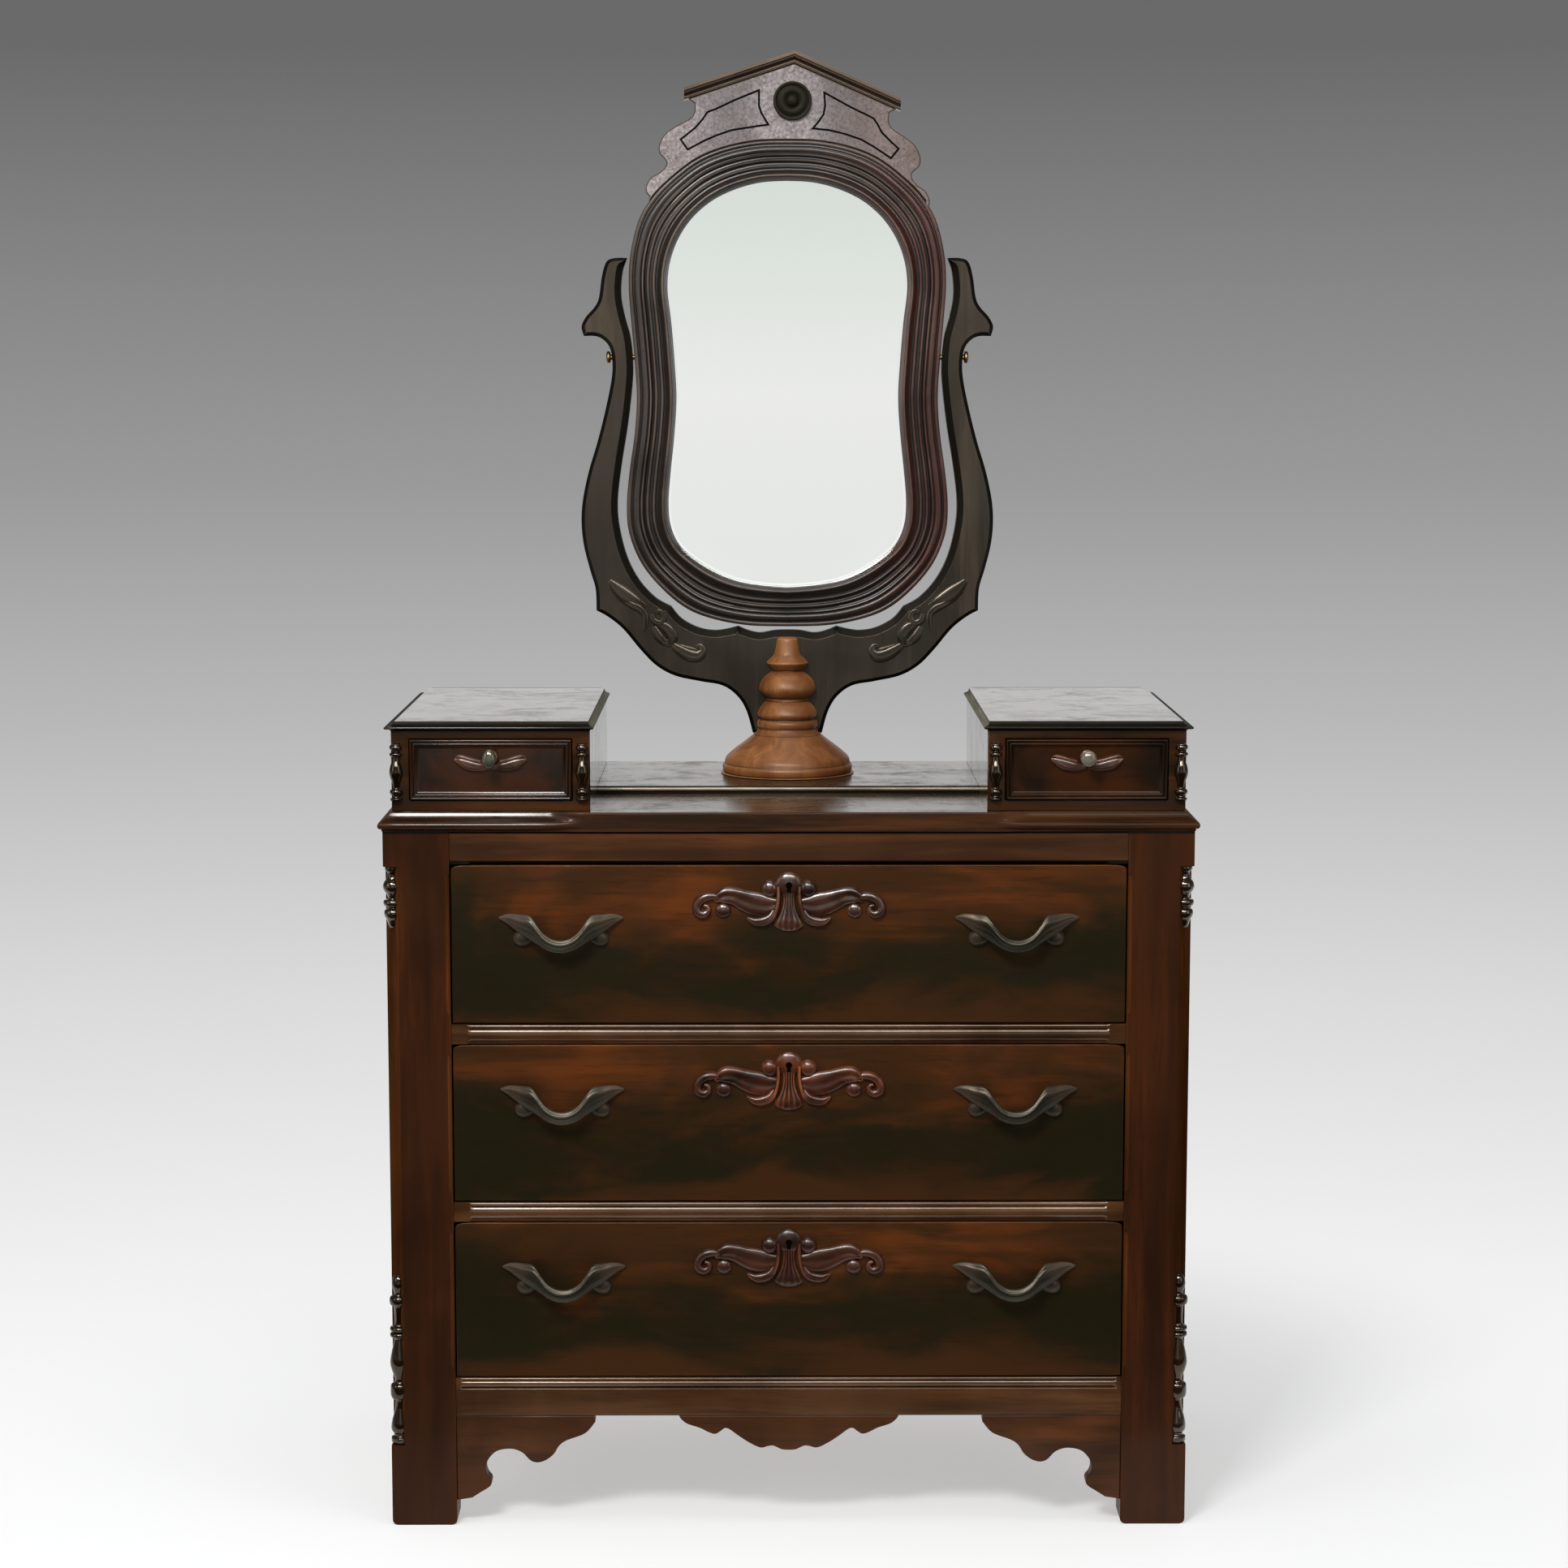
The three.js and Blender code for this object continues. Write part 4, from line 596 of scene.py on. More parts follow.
def dry_polish():
    """The crest's thin, dry polish: a mottled, pinkish grey with brown showing through."""
    finish = Finish("dry crest wood", Specular_IOR_Level=0.25)
    place = finish.place()
    across = finish.parts(place)[0]
    clouds = finish.noise(place, 14.0, 4.0, 0.62, 0.6)
    mottle = finish.noise(place, 230.0, 4.0, 0.7)
    specks = finish.noise(place, 300.0, 2.0, 0.6)
    colour = finish.mixed((114, 104, 101), (168, 158, 158), (clouds * 0.4 + mottle * 0.6).clear(0.36, 0.64))
    for tone, share in (
        ((182, 172, 174), mottle.clear(0.56, 0.68) * 0.3),
        ((84, 78, 76), (1 - abs(abs(across) - 0.075).clear(0.01, 0.06)) * 0.62),
        ((84, 60, 44), (clouds * 0.6 + across * 3.0 + 0.08).clear(0.45, 0.8) * 0.6),
        ((52, 42, 39), specks.clear(0.54, 0.68) * 0.5),
    ):
        colour = finish.mixed(colour, tone, share)
    return finish.set(Base_Color=colour, Roughness=mottle * 0.25 + 0.5,
                      Normal=finish.bumped(mottle + specks, 0.35, 0.0008))


def frame_polish():
    """The mirror frame's reeds: greyish brown, and redder on its right, with dark hollows of painted shade and some
    dirt, and ridges lightened as painted highlight.
    """
    finish = Finish("mirror frame", Specular_IOR_Level=0.3, Coat_Roughness=0.2)
    place = finish.place()
    patches = finish.noise(place, 7.0, 3.0, 0.55, 0.6)
    mottle = finish.noise(place, 120.0, 3.0, 0.6, 0.3)
    red = (finish.parts(place)[0] * 3.4 + patches * 0.9 - 0.45).clear(0.1, 0.8)
    colour = finish.mixed((40, 32, 27), (68, 29, 19), red)
    colour = finish.mixed(colour, (24, 16, 12), mottle.clear(0.5, 0.7) * 0.6)
    # Painted shade in the grooves, nearly black, with some dirt, and painted highlights on the reeds' ridges
    return finish.set(
        Base_Color=finish.shade_and_sheen_with_wear(colour, (6, 5, 4), (106, 89, 77), patches.clear(0.3, 0.7)),
        Roughness=patches * 0.2 + 0.24,
        Coat_Weight=patches.clear(0.3, 0.7) * 0.15,
        Normal=finish.bumped(mottle, 0.1, 0.0005),
    )


def bare(name, dark, light, grain):
    """Unpolished wood of the drawers' insides and the back."""
    finish = Finish(name, Specular_IOR_Level=0.2)
    place = finish.place()
    grained = finish.stretched(place, *GRAIN[grain])
    streaks = finish.noise(grained, 3.0, 4.0, 0.6, 0.8)
    lines = finish.noise(grained, 22.0, 2.0, 0.6, 0.1)
    stains = finish.noise(place, 3.0, 4.0, 0.6, 0.4)
    colour = finish.mixed(dark, light, (streaks * 0.7 + lines * 0.3).clear(0.32, 0.68))
    return finish.set(
        Base_Color=finish.mixed(colour, dark, stains.clear(0.52, 0.75) * 0.6),
        Roughness=streaks * 0.15 + 0.62,
        Normal=finish.bumped(lines, 0.25, 0.0005),
    )


def old_brass(colour):
    """Brass with brown tarnish."""
    finish = Finish("old brass", Metallic=1.0)
    tarnish = finish.noise(finish.place(), 90.0, 4.0, 0.6)
    return finish.set(
        Base_Color=finish.mixed((*colour, 1.0), (70, 52, 34), tarnish.clear(0.4, 0.7)),
        Roughness=tarnish * 0.3 + 0.25,
    )


def silvering(colour):
    """The mirror's silver, a little greener towards its head."""
    finish = Finish("mirror silvering", Metallic=1.0, Roughness=0.0)
    level = finish.parts(finish.place())[2] * 1.9 - 2.2
    stops = [(0, (230, 232, 229)), (0.5, (*colour, 1.0)), (1, (238, 247, 239))]
    return finish.set(Base_Color=finish.node("ShaderNodeValToRGB", {"stops": stops}, {0: level}))


CASE_WOOD = ((30, 15, 5), (60, 32, 10), (106, 54, 16))
CARVED = {"gloss": 0.3, "shine": 0.4, "bump": 0.3, "patch": 34.0, "tint": (255, 250, 244)}
DULL = {"gloss": 0.6, "coat": 0.0}

# Polished woods: name, dark, middle and light tone, and grain, and then what differs from polished()'s own values
# A ridge colour paints highlights, partly from rubbing, onto the ridges and paints shade into the hollows.
POLISHES = {
    "case_x": ("case wood, grain across", *CASE_WOOD, "X", {"rub": 0.55}),
    "case_z": ("case wood, grain upright", *CASE_WOOD, "Z", {}),
    "post": ("post wood", (38, 17, 5), (62, 29, 8), (104, 46, 10), "Z", {"gloss": 0.4, "shine": 0.14}),
    "frieze": ("top rail wood", (42, 21, 8), (74, 41, 16), (112, 62, 26), "X",
               {"gloss": 0.4, "rub": 0.6, "bump": 0.25}),
    "turned": ("split turnings", (12, 9, 5), (34, 21, 10), (66, 36, 15), "Z",
               {"gloss": 0.12, "coat": 1.0, "shine": 0.6, "bump": 0.03}),
    # Painted light: a lighter, matte copy of the post wood, so that the chamfers, which stand in shade, look as light
    # as the post
    "chamfer": ("post chamfers", (50, 27, 12), (88, 49, 22), (124, 68, 31), "Z", {**DULL, "shine": 0.0}),
    # Painted shade: a darker, matte copy for the upright sides of the small drawers' mouldings
    "panel_end": ("panel ends", (22, 11, 5), (42, 22, 10), (64, 34, 15), "Z", {**DULL, "shine": 0.05}),
    "apron": ("apron wood", (40, 21, 9), (76, 42, 18), (116, 64, 28), "X", {"gloss": 0.4, "rub": 0.5, "shine": 0.15}),
    "moulded": ("moulded rails", (44, 25, 12), (86, 54, 30), (124, 84, 50), "X",
                {"gloss": 0.18, "coat": 0.7, "shine": 0.5, "bump": 0.03}),
    # Painted highlight: pale tones that stand for the light on the deck's bead
    "bead": ("deck bead", (74, 62, 50), (168, 152, 132), (206, 192, 172), "X",
             {"gloss": 0.18, "coat": 1.0, "shine": 0.6, "bump": 0.3}),
    "end": ("small box top ends", (62, 59, 46), (112, 110, 92), (136, 134, 112), "Y", {**DULL, "shine": 0.1}),
    # Copies of one carving, one for each drawer: the lowest drawer's darker copy is painted shade, and the other
    # differences are partly painted light and partly each plate's own tone
    "carved_1": ("carved wood 1", (26, 12, 6), (80, 42, 24), (118, 74, 50), "X",
                 {**CARVED, "coat": 1.0, "ridge": (123.9, 77.7, 52.5)}),
    "carved_2": ("carved wood 2", (26, 12, 6), (100, 46, 18), (150, 82, 42), "X",
                 {**CARVED, "coat": 0.3, "ridge": (157.5, 86.1, 44.1)}),
    "carved_3": ("carved wood 3", (26, 12, 6), (66, 31, 15), (104, 56, 32), "X",
                 {**CARVED, "coat": 0.25, "ridge": (109.2, 58.8, 33.6)}),
    "pull": ("ebonised pulls", (18, 18, 12), (42, 41, 32), (66, 63, 50), "X",
             {"gloss": 0.34, "coat": 0.1, "shine": 0.3, "ridge": (112, 108, 92), "bump": 0.25, "tips": (66, 51, 40)}),
    "knob_left": ("left knob", (30, 31, 24), (74, 74, 60), (124, 120, 102), "X",
                  {"gloss": 0.16, "coat": 1.0, "shine": 0.7, "ridge": (120, 118, 100)}),
    "knob_right": ("right knob", (56, 54, 44), (126, 120, 104), (190, 184, 166), "X",
                   {"gloss": 0.2, "coat": 1.0, "shine": 0.7, "ridge": (196, 190, 172), "bump": 0.6}),
    "harp": ("ebonised stand", (15, 14, 11), (40, 36, 29), (86, 73, 60), "Z",
             {"gloss": 0.4, "shine": 0.28, "rub": 0.7}),
    # Painted shade: a near-black finish for chamfers, gaps and coves that stand in shade
    "harp_edge": ("stand edge", (8, 7, 5), (15, 13, 9), (26, 22, 16), "Z",
                  {"gloss": 0.5, "coat": 0.0, "shine": 0.08}),
    "leafage": ("stand carving", (15, 14, 9), (36, 31, 22), (66, 57, 44), "X",
                {"gloss": 0.26, "coat": 0.4, "shine": 0.45, "ridge": (92, 86, 72)}),
    "rosette": ("rosette", (8, 7, 5), (19, 17, 11), (32, 29, 20), "X",
                {"gloss": 0.5, "coat": 0.0, "shine": 0.1, "ridge": (44, 41, 30)}),
    "cornice": ("cornice wood", (26, 17, 14), (56, 39, 31), (80, 58, 46), "X",
                {"gloss": 0.36, "coat": 0.2, "shine": 0.35, "ridge": (104, 84, 70)}),
    "crest_edge": ("crest edge", (34, 26, 23), (62, 48, 43), (84, 68, 60), "X", {"gloss": 0.5, "coat": 0.0}),
    "stand": ("pedestal wood", (98, 54, 24), (150, 98, 54), (178, 122, 72), "Z",
              {"gloss": 0.44, "coat": 0.1, "shine": 0.35, "ridge": (186, 136, 88)}),
}
WOODS = {}


def woods():
    """The finishes, mixed once."""
    if WOODS:
        return WOODS
    colours = bpy.context.scene.dresser_colours
    for key, (*tones, looks) in POLISHES.items():
        WOODS[key] = polished(*tones, **looks)
    WOODS.update(
        top=top_polish("small box tops", "X", 0.36, 0.25, 0.1),
        deck=top_polish("deck and case top", "X", 0.25, 0.08, 0.16),
        side=top_polish("small box sides", "Y", 1.0, 1.0, 0.04),
        nose=nose_polish("case top moulding", (36, 19, 8), (76, 41, 17)),
        box_nose=nose_polish("small box mouldings", (10, 7, 4), (30, 18, 9)),
        drawer=drawer_polish(),
        box=box_polish(),
        frame=frame_polish(),
        crest=dry_polish(),
        inner_y=bare("drawer wood, grain to the back", (88, 62, 38), (150, 116, 78), "Y"),
        inner_z=bare("back boards", (70, 50, 32), (120, 92, 62), "Z"),
        line=Finish("cut line", Base_Color=(10, 8, 7), Roughness=0.9, Specular_IOR_Level=0.05),
        shade=Finish("keyhole shade", Base_Color=(8, 6, 5), Roughness=0.9, Specular_IOR_Level=0.0),
        brass=old_brass(colours.brass),
        silver=silvering(colours.silver),
        bevel=Finish("mirror bevel", Base_Color=(244, 247, 243), Metallic=1.0, Roughness=0.03),
    )
    return WOODS


# ---- Shapes


def curve(points, steps):
    """Points on a smooth curve through the given ones, which it keeps."""
    rows = [np.array(point, dtype=float) for point in points]
    last = len(rows) - 1
    found = []
    for i in range(last):
        a, b, c, d = (rows[min(max(k, 0), last)] for k in (i - 1, i, i + 1, i + 2))
        for t in (k / steps for k in range(steps)):
            found.append(0.5 * (
                2 * b + (c - a) * t + (2 * a - 5 * b + 4 * c - d) * t * t + (3 * b - a - 3 * c + d) * t ** 3))
    return [tuple(row) for row in [*found, rows[-1]]]


def scaled(shares, width, height):
    return [(across * width, up * height) for across, up in shares]


def mirrored(rows):
    """The same points on the other side of the middle, in the opposite order."""
    return [(-row[0], *row[1:]) for row in reversed(rows)]


def joined(runs, width, height):
    """Curves that meet at corners, each without its last point."""
    return [point for shares in runs for point in curve(scaled(shares, width, height), 5)[:-1]]


def oblong(half, low, high):
    return [(-half, low), (half, low), (half, high), (-half, high)]


def draw_out(bm, ring, points, mark=0):
    """Extrudes a closed ring of vertices and moves the new ring to its points; mark picks the new faces' finish."""
    edges = [bm.edges.get((a, b)) for a, b in zip(ring, ring[1:] + ring[:1])]
    made = bmesh.ops.extrude_edge_only(bm, edges=edges)["geom"]
    fresh = {item for item in made if isinstance(item, bmesh.types.BMVert)}
    for item in made:
        if isinstance(item, bmesh.types.BMFace):
            item.material_index = mark
    follow = [next(end for end in (edge.other_vert(vert) for edge in vert.link_edges) if end in fresh)
              for vert in ring]
    for vert, point in zip(follow, points):
        vert.co = point
    return follow


def sweep(bm, rings, closed=False, marks=None):
    """A skin drawn out from the first ring of points through the rest, with its ends closed."""
    ring = [bm.verts.new(point) for point in rings[0]]
    for a, b in zip(ring, ring[1:] + ring[:1]):
        bm.edges.new((a, b))
    if not closed:
        bm.faces.new(ring)
    for points, mark in zip(rings[1:], marks or [0] * len(rings)):
        ring = draw_out(bm, ring, points, mark)
    if closed:
        draw_out(bm, ring, rings[0])
    else:
        bm.faces.new(ring)


def turned(bm, profile, place, sides, turn=None, arc=math.tau):
    """Spins a profile of (radius, height) in millimetres about an axis through place, upright if not turned."""
    before = set(bm.verts)
    start = Matrix.Rotation(math.pi, 4, "Z")
    verts = [bm.verts.new(start @ Vector((radius * MM, 0, height * MM))) for radius, height in profile]
    edges = [bm.edges.new(pair) for pair in zip(verts, verts[1:])]
    full = arc == math.tau
    bmesh.ops.spin(bm, geom=verts + edges, axis=(0, 0, 1), cent=(0, 0, 0), angle=arc, steps=sides, use_merge=full)
    fresh = [vert for vert in bm.verts if vert not in before]
    bmesh.ops.remove_doubles(bm, verts=fresh, dist=1e-7)
    fresh = [vert for vert in bm.verts if vert not in before]
    rims = {edge for vert in fresh for edge in vert.link_edges if edge.is_boundary}
    if rims:
        bmesh.ops.holes_fill(bm, edges=list(rims), sides=0)
    bmesh.ops.transform(bm, matrix=Matrix.Translation(place) @ (turn or Matrix()), verts=fresh)
    return fresh


def split_turning(bm, profile, radius, height, place, sides):
    """A turning with flat ends, in a piece's second finish."""
    shape = [(0, 0), *curve(scaled(profile, radius, height), 3), (0, height)]
    for vert in turned(bm, shape, place, sides):
        for face in vert.link_faces:
            face.material_index = 1


def drawn_in(points, inset):
    """A closed outline moved inwards, or outwards for a negative inset, and less where it would cross itself."""
    rows = np.array(points, dtype=float)
    after = np.roll(rows, -1, axis=0)
    area = float(np.sum(rows[:, 0] * after[:, 1] - after[:, 0] * rows[:, 1]))
    runs = after - rows
    runs /= np.maximum(np.linalg.norm(runs, axis=1), 1e-9)[:, None]
    before = np.roll(runs, 1, axis=0)
    middle = before + runs
    middle /= np.maximum(np.linalg.norm(middle, axis=1), 1e-9)[:, None]
    lean = np.maximum(np.sum(runs * middle, axis=1), 0.45)
    out = np.stack((-middle[:, 1], middle[:, 0]), axis=1) * (math.copysign(1, area) * inset / lean)[:, None]
    spans = after - rows
    squares = np.maximum(np.sum(spans * spans, axis=1), 1e-12)
    moved = []
    for here, way in zip(rows, out):
        for share in (1, 0.85, 0.7, 0.55, 0.4, 0.28, 0.18, 0.1, 0.04):
            spot = here + way * share
            along = np.clip(np.sum((spot - rows) * spans, axis=1) / squares, 0, 1)
            nearest = np.min(np.linalg.norm(rows + spans * along[:, None] - spot, axis=1))
            if nearest >= 0.96 * abs(inset) * share:
                break
        moved.append(tuple(spot))
    return moved


def board(bm, points, front, back, place=at, marks=None):
    """A front view's outline of (x, z) as a board, with its front arris taken off."""
    soft = BOARD_ARRIS * 0.3
    steps = [(0, back), (0, front + BOARD_ARRIS), (soft, front + soft), (BOARD_ARRIS, front)]
    sweep(bm, [[place(x, y, z) for x, z in drawn_in(points, inset)] for inset, y in steps], marks=marks)


def stroke(bm, stations, place, rise, sides, vein, ribs=0):
    """A raised carved stroke along (across, up, half width, rise share) stations on the face at place."""
    rows = [np.array(row) for row in curve(stations, 5)]
    rings = []
    for i, row in enumerate(rows):
        along = rows[min(i + 1, len(rows) - 1)][:2] - rows[max(i - 1, 0)][:2]
        along = along / max(np.linalg.norm(along), 1e-9)
        across = np.array((-along[1], along[0]))
        ring = []
        for k in range(sides + 1):
            angle = math.pi * k / sides
            out = math.cos(angle)
            lift = math.sin(angle) ** 0.8 * (1 - vein * math.exp(-(out / 0.4) ** 2))
            if ribs:
                lift *= 0.9 + 0.1 * math.cos(ribs * math.pi * out)
            x, z = row[:2] + across * out * max(row[2], 0.05)
            sunk = 0.25 if k in (0, sides) else 0
            ring.append(place + Vector((x, sunk - lift * rise * max(row[3], 0.02), z)) * MM)
        rings.append(ring)
    sweep(bm, rings)


def both_strokes(bm, stations, *looks):
    """A stroke and its twin on the other side of the middle."""
    stroke(bm, stations, *looks)
    stroke(bm, mirrored(stations)[::-1], *looks)


def ball(bm, place, radii, turn=0.0):
    """An egg with the given half sizes in millimetres."""
    size = Matrix.Diagonal((*[radius * MM for radius in radii], 1))
    matrix = Matrix.Translation(place) @ Matrix.Rotation(turn, 4, "Y") @ size
    bmesh.ops.create_uvsphere(bm, u_segments=24, v_segments=14, radius=1, matrix=matrix)


def cut_back(bm, place):
    """Takes off what is behind the face at place."""
    bmesh.ops.bisect_plane(bm, geom=[*bm.verts, *bm.edges, *bm.faces], plane_co=place, plane_no=(0, 1, 0),
                           clear_outer=True)
    bmesh.ops.holes_fill(bm, edges=[edge for edge in bm.edges if edge.is_boundary], sides=0)


def gathered(items, key, width, kind=np.float32):
    values = np.empty(len(items) * width, dtype=kind)
    items.foreach_get(key, values)
    return values.reshape(-1, width)


def store_bulge(mesh):
    """Keeps how sharply each point of a mesh bulges: 0 in a tight hollow, 0.5 on a flat and 1 on a tight ridge."""
    places = gathered(mesh.vertices, "co", 3) / MM
    normals = gathered(mesh.vertices, "normal", 3)
    pairs = gathered(mesh.edges, "vertices", 2, np.int32)
    spans = places[pairs[:, 1]] - places[pairs[:, 0]]
    squares = np.maximum(np.sum(spans * spans, axis=1), 0.04)
    bulge = np.zeros(len(places))
    for end, sign in ((0, -1), (1, 1)):
        bends = np.clip(sign * 2 * np.sum(normals[pairs[:, end]] * spans, axis=1) / squares, -1, 1)
        most = np.zeros(len(places))
        least = np.zeros(len(places))
        np.maximum.at(most, pairs[:, end], bends)
        np.minimum.at(least, pairs[:, end], bends)
        strong = np.where(most > -least, most, least)
        bulge = np.where(np.abs(strong) > np.abs(bulge), strong, bulge)
    # The finishes paint shade into the hollows and highlights onto the ridges from this attribute.
    layer = mesh.attributes.new("wear", "FLOAT", "POINT")
    layer.data.foreach_set("value", np.clip(0.5 + bulge * 0.9, 0, 1).astype(np.float32))


def mesh_of(bm, name, finishes):
    """The mesh of a modelled shape, with its finishes."""
    mesh = bpy.data.meshes.new(name)
    bm.to_mesh(mesh)
    bm.free()
    for finish in finishes:
        mesh.materials.append(finish.material)
    return mesh


def linked(name, data):
    """An object in the scene, at the origin."""
    piece = bpy.data.objects.new(name, data)
    bpy.context.scene.collection.objects.link(piece)
    return piece


def placed(name, mesh, body, node=None):
    """A mesh as a piece, on its body, in place of the solid that it stands for."""
    piece = linked(name, mesh)
    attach(piece, body)
    if node:
        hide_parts(node)
    return piece


def finished(name, bm, finishes, body, slot, crease=48.0, worn=False, weighted=True, node=None):
    """Turns a shape into a piece, with its normals, smooth faces and finishes."""
    bmesh.ops.remove_doubles(bm, verts=bm.verts, dist=1e-6)
    bmesh.ops.recalc_face_normals(bm, faces=bm.faces)
    mesh = mesh_of(bm, name, [woods()[key] for key in finishes.split()])
    # Stores the bulging attribute, from which the finishes paint shade into hollows and highlights onto ridges.
    if worn:
        store_bulge(mesh)
    mesh.shade_smooth()
    mesh.set_sharp_from_angle(angle=math.radians(crease))
    piece = placed(name, mesh, body, node)
    if weighted:
        piece.modifiers.new("Face weights", "WEIGHTED_NORMAL").keep_sharp = True


def shown(node, *rest, **looks):
    """A finished piece that stands for a solid of the frame."""
    finished(f"{node}_shown", *rest, node=node, **looks)


def softened(node, finish, body, edge):
    """A solid of the frame with its arrises taken off."""
    bm = bmesh.new()
    bm.from_mesh(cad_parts[node].data)
    bmesh.ops.remove_doubles(bm, verts=bm.verts, dist=1e-6)
    bmesh.ops.dissolve_limit(bm, angle_limit=math.radians(1), verts=bm.verts, edges=bm.edges)
    mesh = mesh_of(bm, node, [woods()[finish]])
    mesh.shade_smooth()
    arris = placed(f"{node}_shown", mesh, body, node).modifiers.new("Arrises", "BEVEL")
    arris.width = edge * MM
    arris.segments = 2
    arris.limit_method = "ANGLE"
    arris.angle_limit = math.radians(35)
    arris.harden_normals = True


def bead(middle, radius):
    """Points down a half-round moulding, as (depth, height) from its highest plane."""
    angles = [math.radians(84 * (1 - k / 3)) for k in range(7)]
    return [(radius - radius * math.cos(angle), middle + radius * math.sin(angle)) for angle in angles]


def rail(bm, top, bottom, back, profile, stop):
    """A rail with a profile of (depth, height) run along its front, stopped short of its ends."""
    runs = [(GAP - OPENING_HALF, 0), (-stop, 0)]
    runs += [(-stop + RAIL_EASE * share, depth) for share, depth in ((0.15, 0.35), (0.45, 0.75), (1, 1))]
    rings = []
    for x, share in runs + mirrored(runs):
        section = [(back, top), (back, bottom)]
        section += [(RAIL_FRONT + depth * share, height) for depth, height in reversed(profile)]
        rings.append([at(x, y, z) for y, z in section])
    sweep(bm, rings)


def bolt_socket(bm, bolt):
    """Socket in a rail's underside, for the bolt of the lock in the drawer below it."""
    low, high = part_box(bolt)
    room = SOCKET_ROOM * MM
    for axis in (0, 1):
        normal = Vector((1 - axis, axis, 0))
        for value in (low[axis] - room, high[axis] + room):
            under = [face for face in bm.faces if face.normal.z < -0.99]
            edges = {edge for face in under for edge in face.edges}
            corners = {corner for face in under for corner in face.verts}
            bmesh.ops.bisect_plane(bm, geom=[*under, *edges, *corners], plane_co=normal * value, plane_no=normal)
            bm.normal_update()
    mouth = [face for face in bm.faces if face.normal.z < -0.99
             and all(low[axis] - room < face.calc_center_median()[axis] < high[axis] + room for axis in (0, 1))]
    sunk = bmesh.ops.extrude_face_region(bm, geom=mouth)["geom"]
    bmesh.ops.translate(bm, verts=[item for item in sunk if isinstance(item, bmesh.types.BMVert)],
                        vec=(0, 0, SOCKET_DEPTH * MM))
    bmesh.ops.delete(bm, geom=[face for face in mouth if face.is_valid], context="FACES_ONLY")
    bmesh.ops.recalc_face_normals(bm, faces=bm.faces)


# ---- Sizes and colours


def length_property(name, description, default, low, high):
    return FloatProperty(name=name, description=description, default=default * MM, min=low * MM, max=high * MM,
                         unit="LENGTH")


def colour_property(name, description, colour):
    return FloatVectorProperty(name=name, description=description, default=rgba(colour)[:3], min=0, max=1,
                               size=3, subtype="COLOR")


class DresserSizes(bpy.types.PropertyGroup):
    arris: length_property("Arris", "Width taken off plain edges", 1.2, 0.1, 3)
    chamfer: length_property("Harp chamfer", "Width of the chamfer round the wishbone", 5, 1, 8)
    carving: length_property("Carving", "Height of the keyhole plates' carving", 8, 4, 8)
    bead: length_property("Bead", "Radius of the upper bead on the rails between the drawers", 2.6, 1.5, 3)


class DresserColours(bpy.types.PropertyGroup):
    backdrop: colour_property("Backdrop", "Colour of the floor round the dresser", (252, 252, 252))
    silver: colour_property("Silver", "Colour of the mirror's silvering", (249, 250, 247))
    brass: colour_property("Brass", "Colour of the screws and locks", (134, 104, 62))


# ---- The pieces


class DRESSER_OT_case(bpy.types.Operator):
    """The plain boards of the case: sides, back and the frames under the drawers"""

    bl_idname = "dresser.case"
    bl_label = "Case"

    def execute(self, context):
        edge = context.scene.dresser_sizes.arris / MM
        for side in SIDES:
            softened(f"side_{side}", "case_z", "case", edge)
        softened("back_panel", "inner_z", "case", edge)
        for level in ("upper", "middle", "lower"):
            softened(f"runner_frame_{level}", "inner_y", "case", 0.8)
        return {"FINISHED"}


